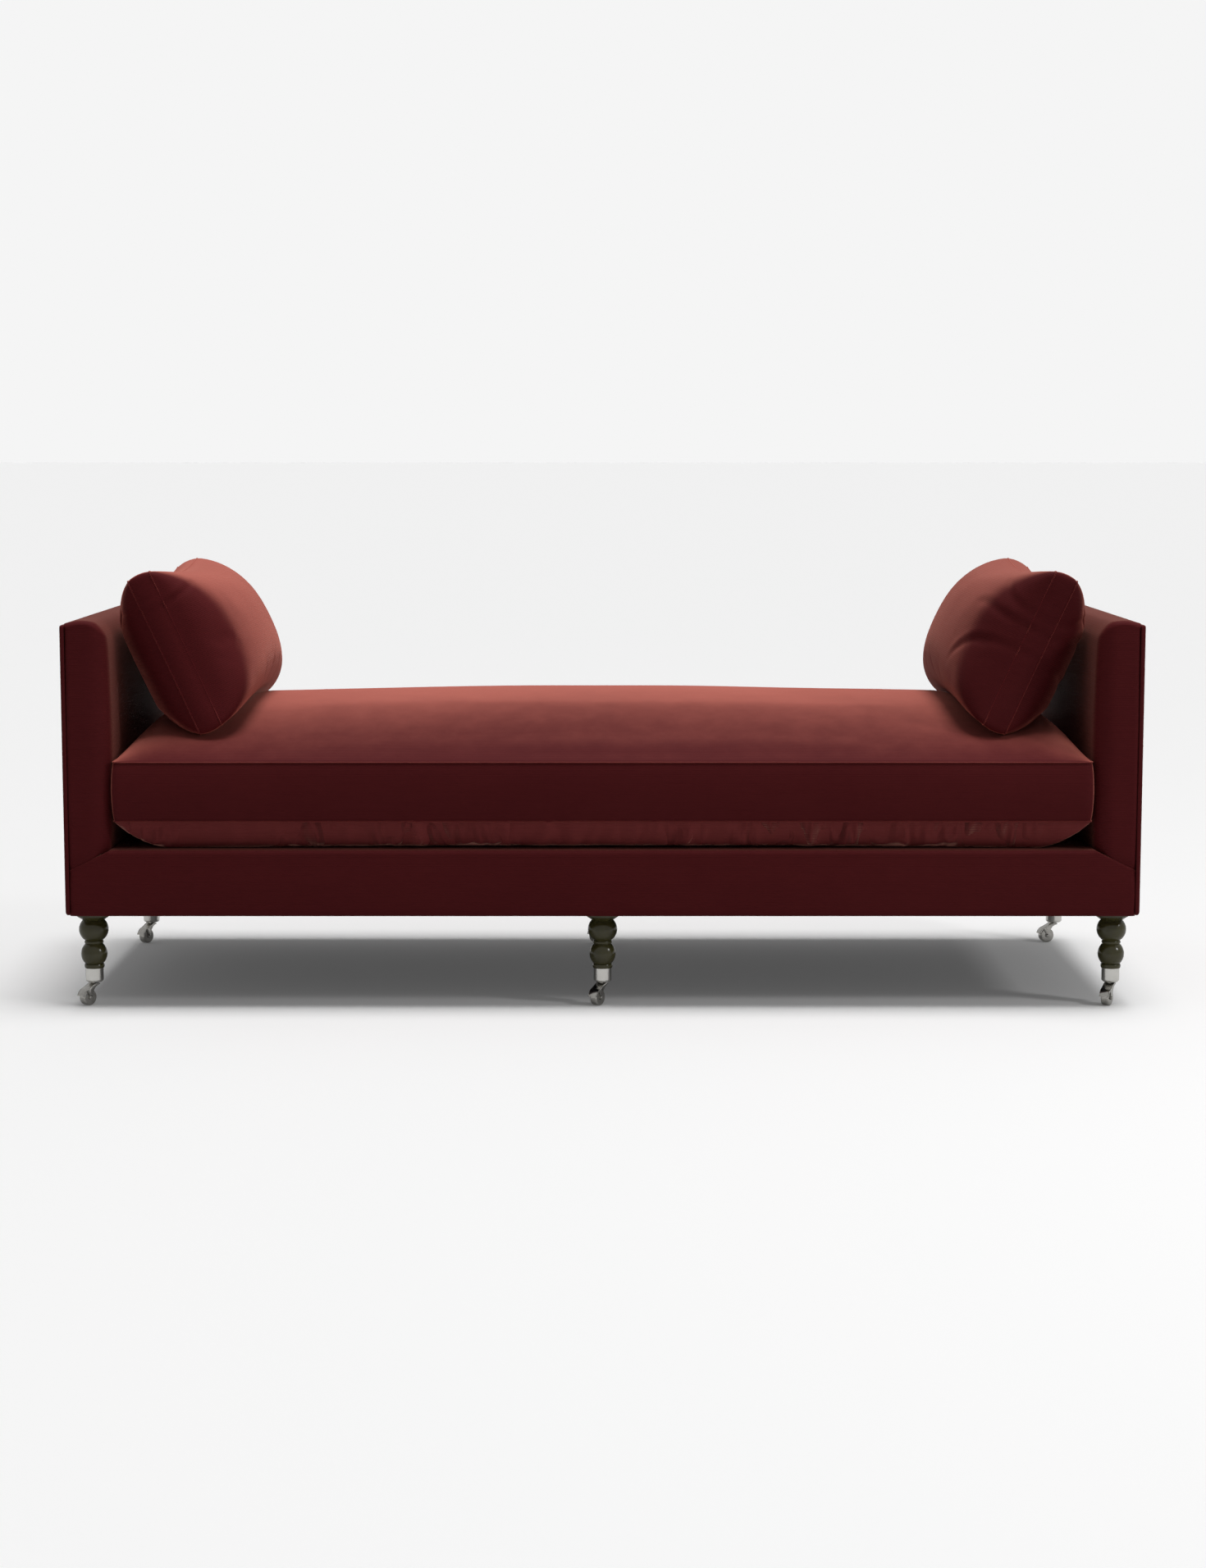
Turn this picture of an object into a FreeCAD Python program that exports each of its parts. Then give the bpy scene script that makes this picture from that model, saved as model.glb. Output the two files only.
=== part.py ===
"""An upholstered daybed on six turned legs with castors.

Millimetres. X runs along the daybed, the front faces -Y, and Z is up. The origin is on the floor,
under the middle. Every driving size is a cell of the sheet "Sizes"; every piece is bound to it.
"""
import FreeCAD, Part
import math
import os
import re
import Sketcher

# ---------------------------------------------------------------- driving sizes

SIZES = {
    # the whole daybed
    "overall_length": 2134,
    "overall_depth": 840,
    "arm_top_height": 766,
    "base_bottom_height": 188,
    "base_height": 131,
    # padding and fabric over the frame
    "face_padding": 12,
    "rail_top_padding": 10,
    "wrap_under": 2,
    "wrap_width": 14,
    "deck_padding": 14,
    "dust_cloth": 1.2,
    "mitre_drop": 40,
    # the arms
    "arm_thickness": 90,
    "side_panel_thickness": 9,
    "side_panel_edge_radius": 4,
    "arm_inner_padding": 20,
    "arm_top_padding": 15,
    "arm_crown": 9,
    "arm_crown_from_outside": 40,
    "arm_roll_radius": 28,
    "arm_corner_radius": 38,
    # the hardwood frame
    "rail_thickness": 28,
    "post_depth": 28,
    "top_rail_height": 20,
    "arm_board": 6,
    "cross_rail_width": 95,
    "cross_rail_height": 28,
    "corner_block_leg": 110,
    "corner_block_height": 60,
    "slat_width": 70,
    "slat_thickness": 12,
    "slat_pitch": 150,
    "slat_count": 13,
    "ledge_section": 20,
    # the legs
    "leg_inset_from_end": 45.5,
    "leg_inset_from_face": 58,
    "leg_disc_radius": 33.5,
    "leg_disc_height": 16.5,
    "leg_upper_bulb_radius": 29.3,
    "leg_upper_bulb_height": 41.5,
    "leg_bead_radius": 19,
    "leg_bead_height": 7,
    "leg_lower_bulb_radius": 26,
    "leg_lower_bulb_height": 41,
    "leg_neck_radius": 17.3,
    "leg_collar_radius": 20,
    "leg_collar_height": 8,
    "leg_spigot_radius": 15.4,
    "leg_plate_side": 60,
    "leg_plate_thickness": 2,
    "leg_bolt_radius": 4,
    "leg_bolt_in_leg": 32,
    "leg_bolt_in_frame": 26,
    "bolt_hole_clearance": 0.1,
    # the castors
    "cup_radius": 17.8,
    "cup_height": 29,
    "cup_rounding": 6,
    "cup_floor": 4,
    "spigot_clearance": 0.1,
    "spigot_foot_gap": 6,
    "cup_screw_radius": 1.5,
    "cup_screw_head_radius": 3,
    "cup_screw_head_height": 1.2,
    "cup_screw_length": 9,
    "cup_screw_height": 58,
    "pintle_radius": 4,
    "pintle_clearance": 0.06,
    "pintle_head_radius": 7,
    "pintle_head_height": 3,
    "pintle_gap": 0.4,
    "horn_disc_radius": 9.5,
    "horn_disc_height": 4,
    "horn_cheek": 2.6,
    "horn_rim": 3,
    "wheel_radius": 16,
    "wheel_width": 16,
    "wheel_edge_radius": 2.5,
    "wheel_side_gap": 0.4,
    "wheel_rim_gap": 1.2,
    "wheel_trail": 18,
    "axle_radius": 2.5,
    "axle_head_radius": 3.8,
    "axle_head_height": 1.1,
    "axle_clearance": 0.05,
    "swivel_front_left": 49,
    "swivel_front_middle": 56,
    "swivel_front_right": 61,
    "swivel_rear_left": 56,
    "swivel_rear_middle": 40,
    "swivel_rear_right": 15,
    # the seat cushion
    "seat_gap_below": 1,
    "seat_gap_beside_arm": 4,
    "seat_depth": 836,
    "seat_belly_height": 59,
    "seat_boxing_height": 115,
    "seat_belly_draw_x": 120,
    "seat_belly_draw_y": 85,
    "seat_seam_draw": 8,
    "seat_shoulder_height": 51,
    "seat_shoulder_draw_x": 190,
    "seat_shoulder_draw_y": 40,
    "seat_slope_height": 40,
    "seat_slope_draw_x": 110,
    "seat_slope_draw_y": 130,
    "seat_top_height": 15,
    "seat_top_draw_x": 65,
    "seat_top_draw_y": 150,
    "seat_corner_radius": 40,
    # the pillows
    "pillow_centre_from_arm": 155,
    "pillow_centre_height": 718,
    "pillow_lean": 24.6,
    "pillow_height": 340,
    "pillow_length": 696,
    "pillow_boxing": 47,
    "pillow_boxing_offset": 33,
    "pillow_thickness": 250,
    "pillow_shoulder": 55,
    "pillow_shoulder_draw": 22,
    "pillow_face_draw": 85,
    "pillow_corner_radius": 45,
}

# Places that follow from the sizes above. They can be used in any expression below.
PLACES = {
    "outer_x": "overall_length / 2",
    "outer_y": "overall_depth / 2",
    "cover_x": "outer_x - side_panel_thickness",
    "arm_inner_x": "outer_x - arm_thickness",
    "post_inner_x": "arm_inner_x + arm_inner_padding",
    "end_rail_inner_x": "cover_x - rail_thickness",
    "frame_y": "outer_y - face_padding",
    "rail_inner_y": "frame_y - rail_thickness",
    "frame_bottom": "base_bottom_height + wrap_under",
    "base_top": "base_bottom_height + base_height",
    "rail_top": "base_top - rail_top_padding",
    "deck_bottom": "base_top - deck_padding",
    "mitre_outer_z": "base_top - mitre_drop",
    "arm_frame_top": "arm_top_height - arm_top_padding",
    "leg_x": "outer_x - leg_inset_from_end",
    "leg_y": "outer_y - leg_inset_from_face",
    "upper_bulb_top": "base_bottom_height - leg_disc_height",
    "bead_top": "upper_bulb_top - leg_upper_bulb_height",
    "lower_bulb_top": "bead_top - leg_bead_height",
    "collar_top": "lower_bulb_top - leg_lower_bulb_height",
    "cup_top": "collar_top - leg_collar_height",
    "cup_bottom": "cup_top - cup_height",
    "cup_inside_floor": "cup_bottom + cup_floor",
    "cup_inner_radius": "leg_spigot_radius + spigot_clearance",
    "bolt_hole_radius": "leg_bolt_radius + bolt_hole_clearance",
    "screw_hole_radius": "cup_screw_radius + bolt_hole_clearance",
    "disc_top": "cup_bottom - pintle_gap",
    "disc_bottom": "disc_top - horn_disc_height",
    "slot_radius": "wheel_radius + wheel_rim_gap",
    "slot_width": "wheel_width + 2 * wheel_side_gap",
    "horn_width": "slot_width + 2 * horn_cheek",
    "crown_radius": "slot_radius + horn_rim",
    "seat_x": "arm_inner_x - seat_gap_beside_arm",
    "seat_bottom": "base_top + seat_gap_below",
    "pillow_x": "arm_inner_x - pillow_centre_from_arm",
}

doc = FreeCAD.newDocument("daybed")
sheet = doc.addObject("Spreadsheet::Sheet", "Sizes")
for row, (alias, amount) in enumerate(SIZES.items(), start=1):
    sheet.set(f"A{row}", alias)
    sheet.set(f"B{row}", str(amount))
    sheet.setAlias(f"B{row}", alias)
doc.recompute()

pieces = []


def sized(text):
    """The expression with every size as a cell of the sheet and every place worked out."""
    def swap(match):
        word = match.group(0)
        if word in PLACES:
            return f"({sized(PLACES[word])})"
        return f"Sizes.{word}" if word in SIZES else word
    return re.sub(r"[a-z]\w*", swap, str(text))


def number(text):
    """What an expression comes to now."""
    return float(sheet.evalExpression(sized(text)))


def vector(point):
    return FreeCAD.Vector(*[number(part) for part in point])


# ---------------------------------------------------------------- shared ways of building

def keep(piece, label):
    """Put a finished piece on the list under its own name."""
    piece.Label = label
    pieces.append(piece)
    return piece


def move(piece, x="0", y="0", z="0", turn=None, axis=(0, 0, 1)):
    """Bind where a piece stands, and how far it is turned, to the sheet."""
    for letter, place in zip("xyz", (x, y, z)):
        piece.setExpression(f".Placement.Base.{letter}", sized(place))
    if turn:
        piece.Placement = FreeCAD.Placement(piece.Placement.Base, FreeCAD.Rotation(FreeCAD.Vector(*axis), 1))
        piece.setExpression(".Placement.Rotation.Angle", sized(turn))


def new_body(name):
    return doc.addObject("PartDesign::Body", name)


def new_sketch(body, name, plane, offset="0"):
    """An empty sketch on one of the body's own origin planes, moved along its normal."""
    sketch = body.newObject("Sketcher::SketchObject", name)
    support = [item for item in body.Origin.OriginFeatures if item.Role == f"{plane}_Plane"][0]
    sketch.AttachmentSupport = (support, "")
    sketch.MapMode = "FlatFace"
    sketch.setExpression("AttachmentOffset.Base.z", sized(offset))
    return sketch


def pin_point(sketch, curve, end, point):
    """Bind one point of a sketch to its two coordinates."""
    for kind, place in zip(("DistanceX", "DistanceY"), point):
        index = sketch.addConstraint(Sketcher.Constraint(kind, -1, 1, curve, end, number(place)))
        sketch.setExpression(f"Constraints[{index}]", sized(place))


def draw_outline(sketch, steps):
    """A closed outline. A step is (x, y), or ("via", x, y) to bend the run between its neighbours."""
    corners = [step for step in steps if step[0] != "via"]
    bends = {}
    for index, step in enumerate(steps):
        if step[0] == "via":
            bends[sum(1 for earlier in steps[:index] if earlier[0] != "via") - 1] = step[1:]
    runs = []
    for index, corner in enumerate(corners):
        start = vector(corner)
        end = vector(corners[(index + 1) % len(corners)])
        if index not in bends:
            curve = sketch.addGeometry(Part.LineSegment(start, end), False)
            runs.append((curve, 1, 2))
            continue
        middle = vector(bends[index])
        left_turn = (middle - start).cross(end - start).z > 0
        arc = Part.Arc(start, middle, end) if left_turn else Part.Arc(end, middle, start)
        curve = sketch.addGeometry(arc, False)
        runs.append((curve, 1, 2) if left_turn else (curve, 2, 1))
        guide = sketch.addGeometry(Part.Point(middle), True)
        pin_point(sketch, guide, 1, bends[index])
        sketch.addConstraint(Sketcher.Constraint("PointOnObject", guide, 1, curve))
    for index, (curve, start_end, far_end) in enumerate(runs):
        following = runs[(index + 1) % len(runs)]
        sketch.addConstraint(Sketcher.Constraint("Coincident", curve, far_end, following[0], following[1]))
        pin_point(sketch, curve, start_end, corners[index])


def draw_circle(sketch, x, y, radius):
    circle = Part.Circle(vector((x, y)), FreeCAD.Vector(0, 0, 1), number(radius))
    curve = sketch.addGeometry(circle, False)
    pin_point(sketch, curve, 3, (x, y))
    index = sketch.addConstraint(Sketcher.Constraint("Radius", curve, number(radius)))
    sketch.setExpression(f"Constraints[{index}]", sized(radius))


def plane_offset(plane, low, high):
    """Where a sketch lies so that a pad along the plane's normal fills low to high."""
    return f"-({high})" if plane == "XZ" else low


def add_slab(body, name, plane, steps, low, high):
    """Pad an outline from low to high along the axis that the plane leaves out."""
    sketch = new_sketch(body, f"{name}_outline", plane, plane_offset(plane, low, high))
    draw_outline(sketch, steps)
    pad = body.newObject("PartDesign::Pad", name)
    pad.Profile = sketch
    pad.setExpression("Length", sized(f"({high}) - ({low})"))
    doc.recompute()
    return pad


def cut_slab(body, name, plane, low, high, steps=None, circles=()):
    """Cut an outline or round holes away from low to high, and check that something was cut."""
    before = body.Shape.Volume
    sketch = new_sketch(body, f"{name}_outline", plane, plane_offset(plane, low, high))
    if steps:
        draw_outline(sketch, steps)
    for circle in circles:
        draw_circle(sketch, *circle)
    pocket = body.newObject("PartDesign::Pocket", name)
    pocket.Profile = sketch
    pocket.Reversed = True
    pocket.setExpression("Length", sized(f"({high}) - ({low})"))
    doc.recompute()
    if body.Shape.Volume > before - 0.01:
        raise RuntimeError(f"{name} cuts nothing")
    return pocket


def turn_solid(body, name, steps):
    """Revolve a half outline, drawn in XZ, about the Z axis."""
    sketch = new_sketch(body, f"{name}_outline", "XZ")
    draw_outline(sketch, steps)
    revolution = body.newObject("PartDesign::Revolution", name)
    revolution.Profile = sketch
    revolution.ReferenceAxis = (sketch, ["V_Axis"])
    revolution.Angle = 360
    doc.recompute()
    return revolution


def rectangle(x0, x1, y0, y1):
    return [(x0, y0), (x1, y0), (x1, y1), (x0, y1)]


def rounded_rectangle(half_x, half_y, radius):
    """A rectangle about the origin with its four corners rounded."""
    cut = f"({radius}) * {1 - math.sqrt(0.5)}"
    steps = []
    for sx, sy, x_first in ((1, 1, True), (-1, 1, False), (-1, -1, True), (1, -1, False)):
        side = (f"{sx} * ({half_x})", f"{sy} * (({half_y}) - ({radius}))")
        end = (f"{sx} * (({half_x}) - ({radius}))", f"{sy} * ({half_y})")
        bend = ("via", f"{sx} * (({half_x}) - {cut})", f"{sy} * (({half_y}) - {cut})")
        steps += [side, bend, end] if x_first else [end, bend, side]
    return steps


def block(label, x, y, z):
    """A plain board or batten between two values on each axis."""
    board = doc.addObject("Part::Box", label)
    for side, (low, high) in zip(("Length", "Width", "Height"), (x, y, z)):
        board.setExpression(side, sized(f"({high}) - ({low})"))
    move(board, x[0], y[0], z[0])
    return board


def group(label, members):
    """Several separate solids that share one node."""
    compound = doc.addObject("Part::Compound", label)
    compound.Links = members
    return keep(compound, label)


def mirrored(sign, low, high):
    """A span low to high on the + side of an axis, or its mirror image on the - side."""
    return (low, high) if sign > 0 else (f"-({high})", f"-({low})")


# ---------------------------------------------------------------- the hardwood frame

def long_rail(label, side):
    """A rail along the front or the back, between the arm posts."""
    y = mirrored(side, "rail_inner_y", "frame_y")
    keep(block(label, ("-post_inner_x", "post_inner_x"), y, ("frame_bottom", "rail_top")), label)


def end_rail(label, side):
    """The rail that closes the base at one end, between two posts."""
    x = mirrored(side, "end_rail_inner_x", "cover_x")
    y = ("post_depth - frame_y", "frame_y - post_depth")
    keep(block(label, x, y, ("frame_bottom", "rail_top")), label)


def arm_post(label, side, face):
    """An upright at one corner, from the base's bottom to the arm's top rail."""
    x = mirrored(side, "post_inner_x", "cover_x")
    y = mirrored(face, "frame_y - post_depth", "frame_y")
    keep(block(label, x, y, ("frame_bottom", "arm_frame_top - top_rail_height")), label)


def arm_top_rail(label, side):
    x = mirrored(side, "post_inner_x", "cover_x")
    z = ("arm_frame_top - top_rail_height", "arm_frame_top")
    keep(block(label, x, ("-frame_y", "frame_y"), z), label)


def arm_board(label, side):
    """The thin board inside the arm that its inner padding lies on."""
    x = mirrored(side, "post_inner_x", "post_inner_x + arm_board")
    y = ("post_depth - frame_y", "frame_y - post_depth")
    keep(block(label, x, y, ("deck_bottom", "arm_frame_top - top_rail_height")), label)


def cross_rail():
    """The flat rail across the middle, with a hole at each end for a middle leg's bolt."""
    body = new_body("cross_rail_body")
    half = "cross_rail_width / 2"
    top = "frame_bottom + cross_rail_height"
    outline = rectangle(f"-{half}", half, "-rail_inner_y", "rail_inner_y")
    add_slab(body, "cross_rail_board", "XY", outline, "frame_bottom", top)
    holes = [("0", f"{face} * leg_y", "bolt_hole_radius") for face in (-1, 1)]
    cut_slab(body, "cross_rail_holes", "XY", "frame_bottom", top, circles=holes)
    keep(body, "cross_rail")


def corner_block(side, face):
    """A triangular block glued into one corner, drilled for that leg's bolt."""
    body = new_body(f"corner_block_body_{side}_{face}".replace("-", "minus_"))
    outline = [
        (f"{side} * end_rail_inner_x", f"{face} * rail_inner_y"),
        (f"{side} * end_rail_inner_x", f"{face} * (rail_inner_y - corner_block_leg)"),
        (f"{side} * (end_rail_inner_x - corner_block_leg)", f"{face} * rail_inner_y"),
    ]
    top = "frame_bottom + corner_block_height"
    add_slab(body, f"{body.Name}_prism", "XY", outline, "frame_bottom", top)
    hole = (f"{side} * leg_x", f"{face} * leg_y", "bolt_hole_radius")
    cut_slab(body, f"{body.Name}_hole", "XY", "frame_bottom", top, circles=[hole])
    return body


def slats():
    """Cross slats from front to back, evenly spaced either side of the middle."""
    count = int(number("slat_count"))
    members = []
    for index in range(count):
        middle = f"slat_pitch * {index - (count - 1) / 2}"
        x = (f"{middle} - slat_width / 2", f"{middle} + slat_width / 2")
        z = ("deck_bottom - slat_thickness", "deck_bottom")
        members.append(block(f"slat_{index + 1}", x, ("-rail_inner_y", "rail_inner_y"), z))
    group("slats", members)


def slat_ledges():
    """The two battens, inside the front and back rails, that the slats rest on."""
    members = []
    for face in (-1, 1):
        y = mirrored(face, "rail_inner_y - ledge_section", "rail_inner_y")
        z = ("deck_bottom - slat_thickness - ledge_section", "deck_bottom - slat_thickness")
        name = "slat_ledge_front" if face < 0 else "slat_ledge_rear"
        members.append(block(name, ("-post_inner_x", "post_inner_x"), y, z))
    group("slat_ledges", members)


# ---------------------------------------------------------------- the padded covers

def base_cover(label, face):
    """The padded skin of the front or the back of the base: panel, top lip and turned-under edge."""
    body = new_body(f"{label}_body")
    y = mirrored(face, "frame_y", "outer_y")
    panel = [
        ("-cover_x", "base_bottom_height"), ("cover_x", "base_bottom_height"),
        ("cover_x", "mitre_outer_z"), ("arm_inner_x", "base_top"),
        ("-arm_inner_x", "base_top"), ("-cover_x", "mitre_outer_z"),
    ]
    add_slab(body, f"{label}_panel", "XZ", panel, *y)
    lip = rectangle("-arm_inner_x", "arm_inner_x", "rail_top", "base_top")
    add_slab(body, f"{label}_lip", "XZ", lip, *mirrored(face, "rail_inner_y", "frame_y"))
    wrap = rectangle("-cover_x", "cover_x", "base_bottom_height", "frame_bottom")
    add_slab(body, f"{label}_wrap", "XZ", wrap, *mirrored(face, "frame_y - wrap_width", "frame_y"))
    keep(body, label)


def arm_cover(label, side):
    """The padded skin of one arm: front, inside, top and back, with mitred tongues on the base."""
    body = new_body(f"{label}_body")
    bend = f"arm_corner_radius * {1 - math.sqrt(0.5)}"
    plan = [
        (f"{side} * cover_x", "-outer_y"),
        (f"{side} * cover_x", "outer_y"),
        (f"{side} * (arm_inner_x + arm_corner_radius)", "outer_y"),
        ("via", f"{side} * (arm_inner_x + {bend})", f"outer_y - {bend}"),
        (f"{side} * arm_inner_x", "outer_y - arm_corner_radius"),
        (f"{side} * arm_inner_x", "arm_corner_radius - outer_y"),
        ("via", f"{side} * (arm_inner_x + {bend})", f"{bend} - outer_y"),
        (f"{side} * (arm_inner_x + arm_corner_radius)", "-outer_y"),
    ]
    crest = "arm_top_height + arm_crown"
    add_slab(body, f"{label}_mass", "XY", plan, "base_top", crest)

    crown_x = "outer_x - arm_crown_from_outside"
    roll = f"arm_roll_radius * {1 - math.sqrt(0.5)}"
    above = f"{crest} + arm_crown"
    waste = [
        (f"{side} * (outer_x + arm_crown)", above),
        (f"{side} * (outer_x + arm_crown)", "arm_top_height"),
        (f"{side} * cover_x", "arm_top_height"),
        ("via", f"{side} * (cover_x / 2 + ({crown_x}) / 2)", "arm_top_height + arm_crown * 0.7"),
        (f"{side} * ({crown_x})", crest),
        (f"{side} * (arm_inner_x + arm_roll_radius)", "arm_top_height"),
        ("via", f"{side} * (arm_inner_x + {roll})", f"arm_top_height - {roll}"),
        (f"{side} * arm_inner_x", "arm_top_height - arm_roll_radius"),
        (f"{side} * (arm_inner_x - arm_crown)", "arm_top_height - arm_roll_radius"),
        (f"{side} * (arm_inner_x - arm_crown)", above),
    ]
    cut_slab(body, f"{label}_roll", "XZ", "-outer_y - arm_crown", "outer_y + arm_crown", waste)

    room = rectangle(f"{side} * post_inner_x", f"{side} * (cover_x + 1)", "-frame_y", "frame_y")
    cut_slab(body, f"{label}_room", "XY", "base_top - 1", "arm_frame_top", room)

    tongue = [
        (f"{side} * cover_x", "base_top"),
        (f"{side} * cover_x", "mitre_outer_z"),
        (f"{side} * arm_inner_x", "base_top"),
    ]
    for face in (-1, 1):
        name = f"{label}_front_tongue" if face < 0 else f"{label}_rear_tongue"
        add_slab(body, name, "XZ", tongue, *mirrored(face, "frame_y", "outer_y"))
    keep(body, label)


def side_panel(label, side):
    """The flat padded panel that closes the outside of one arm, from the base's bottom to the top."""
    body = new_body(f"{label}_body")
    radius = "side_panel_edge_radius"
    bend = f"{radius} * {1 - math.sqrt(0.5)}"
    plan = [
        (f"{side} * cover_x", "-outer_y"),
        (f"{side} * (outer_x - {radius})", "-outer_y"),
        ("via", f"{side} * (outer_x - {bend})", f"{bend} - outer_y"),
        (f"{side} * outer_x", f"{radius} - outer_y"),
        (f"{side} * outer_x", f"outer_y - {radius}"),
        ("via", f"{side} * (outer_x - {bend})", f"outer_y - {bend}"),
        (f"{side} * (outer_x - {radius})", "outer_y"),
        (f"{side} * cover_x", "outer_y"),
    ]
    add_slab(body, f"{label}_slab", "XY", plan, "base_bottom_height", "arm_top_height")
    keep(body, label)


def dust_cover():
    """The thin cloth under the base, notched round the leg plates."""
    body = new_body("dust_cover_body")
    edge_y = "frame_y - wrap_width"
    top = "base_bottom_height + dust_cloth"
    sheet_plan = rectangle("-cover_x", "cover_x", f"-({edge_y})", edge_y)
    add_slab(body, "dust_cover_cloth", "XY", sheet_plan, "base_bottom_height", top)
    reach = "leg_plate_side / 2 + 1"
    for column, x in ((-1, "-leg_x"), (0, "0"), (1, "leg_x")):
        for face in (-1, 1):
            notch = rectangle(f"{x} - ({reach})", f"{x} + {reach}",
                              f"{face} * (leg_y - ({reach}))", f"{face} * (outer_y + 1)")
            name = f"dust_cover_notch_{column + 1}_{face + 1}"
            cut_slab(body, name, "XY", "base_bottom_height - 1", f"{top} + 1", notch)
    keep(body, "dust_cover")


# ---------------------------------------------------------------- legs and castors

LEG_PLACES = {
    "front_left": (-1, -1), "front_middle": (0, -1), "front_right": (1, -1),
    "rear_left": (-1, 1), "rear_middle": (0, 1), "rear_right": (1, 1),
}


def leg_place(spot):
    """The leg's axis on the plan."""
    column, face = LEG_PLACES[spot]
    return f"{column} * leg_x", f"{face} * leg_y"


def leg(spot):
    """One turned leg: disc, two bulbs with a bead between, collar, and the spigot for the cup."""
    body = new_body(f"{spot}_leg_body")
    outline = [
        ("0", "base_bottom_height"),
        ("leg_disc_radius", "base_bottom_height"),
        ("leg_disc_radius", "base_bottom_height - leg_disc_height * 0.5"),
        ("leg_neck_radius + 4", "upper_bulb_top"),
        ("via", "leg_upper_bulb_radius", "upper_bulb_top - leg_upper_bulb_height * 0.42"),
        ("leg_neck_radius", "bead_top"),
        ("via", "leg_bead_radius", "bead_top - leg_bead_height / 2"),
        ("leg_neck_radius", "lower_bulb_top"),
        ("via", "leg_lower_bulb_radius", "lower_bulb_top - leg_lower_bulb_height * 0.42"),
        ("leg_neck_radius", "collar_top"),
        ("leg_collar_radius - 1", "collar_top"),
        ("via", "leg_collar_radius", "collar_top - leg_collar_height / 2"),
        ("leg_collar_radius - 1", "cup_top"),
        ("leg_spigot_radius", "cup_top"),
        ("leg_spigot_radius", "cup_inside_floor + spigot_foot_gap"),
        ("0", "cup_inside_floor + spigot_foot_gap"),
    ]
    turn_solid(body, f"{spot}_leg_turning", outline)
    cut_slab(body, f"{spot}_leg_bolt_hole", "XY", "base_bottom_height - leg_bolt_in_leg",
             "base_bottom_height + 1", circles=[("0", "0", "bolt_hole_radius")])
    cut_slab(body, f"{spot}_leg_screw_hole", "XZ", "cup_radius - cup_screw_length", "leg_disc_radius",
             circles=[("0", "cup_screw_height", "screw_hole_radius")])
    move(body, *leg_place(spot))
    keep(body, f"{spot}_leg")


def castor_cup(spot):
    """The metal cup over the leg's spigot, with a hole in its floor for the pintle."""
    body = new_body(f"{spot}_cup_body")
    bend = f"cup_rounding * {1 - math.sqrt(0.5)}"
    outline = [
        ("cup_inner_radius", "cup_top"),
        ("cup_radius", "cup_top"),
        ("cup_radius", "cup_bottom + cup_rounding"),
        ("via", f"cup_radius - {bend}", f"cup_bottom + {bend}"),
        ("cup_radius - cup_rounding", "cup_bottom"),
        ("pintle_radius + pintle_clearance", "cup_bottom"),
        ("pintle_radius + pintle_clearance", "cup_inside_floor"),
        ("cup_inner_radius", "cup_inside_floor"),
    ]
    turn_solid(body, f"{spot}_cup_turning", outline)
    cut_slab(body, f"{spot}_cup_screw_hole", "XZ", "cup_radius - cup_screw_length", "cup_radius + 1",
             circles=[("0", "cup_screw_height", "screw_hole_radius")])
    move(body, *leg_place(spot))
    keep(body, f"{spot}_caster_cup")


def castor_horn(spot):
    """The horn: a pintle with a head inside the cup, and a hooded fork that trails over the wheel."""
    body = new_body(f"{spot}_horn_body")
    axle = ("-wheel_trail", "wheel_radius")
    side = [
        ("horn_disc_radius", "disc_bottom"),
        ("via", "slot_radius - wheel_trail + horn_rim * 3", "disc_bottom - 5"),
        ("slot_radius - wheel_trail + horn_rim", "wheel_radius + 8"),
        ("via", "slot_radius - wheel_trail + 1", "wheel_radius"),
        ("6 - wheel_trail", "wheel_radius - 6"),
        ("via", "-wheel_trail", "wheel_radius - 8.5"),
        ("-6 - wheel_trail", "wheel_radius - 6"),
        ("via", "-8.5 - wheel_trail", "wheel_radius"),
        ("-crown_radius * 0.86 - wheel_trail", "wheel_radius + crown_radius * 0.51"),
        ("via", "-crown_radius * 0.5 - wheel_trail", "wheel_radius + crown_radius * 0.95"),
        ("-horn_disc_radius", "disc_bottom + 1"),
        ("-horn_disc_radius", "disc_top - 1"),
        ("horn_disc_radius", "disc_top - 1"),
    ]
    half = "horn_width / 2"
    add_slab(body, f"{spot}_horn_hood", "XZ", side, f"-{half}", half)
    slot = (*axle, "slot_radius")
    cut_slab(body, f"{spot}_horn_slot", "XZ", "-slot_width / 2", "slot_width / 2", circles=[slot])
    bore = (*axle, "axle_radius")
    cut_slab(body, f"{spot}_horn_axle_hole", "XZ", f"-{half} - 1", f"{half} + 1", circles=[bore])
    outline = [
        ("0", "disc_bottom"),
        ("horn_disc_radius", "disc_bottom"),
        ("horn_disc_radius", "disc_top"),
        ("pintle_radius", "disc_top"),
        ("pintle_radius", "cup_inside_floor + pintle_gap"),
        ("pintle_head_radius", "cup_inside_floor + pintle_gap"),
        ("pintle_head_radius", "cup_inside_floor + pintle_gap + pintle_head_height"),
        ("0", "cup_inside_floor + pintle_gap + pintle_head_height"),
    ]
    turn_solid(body, f"{spot}_horn_pintle", outline)
    move(body, *leg_place(spot), turn=f"swivel_{spot}")
    keep(body, f"{spot}_caster_horn")


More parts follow.
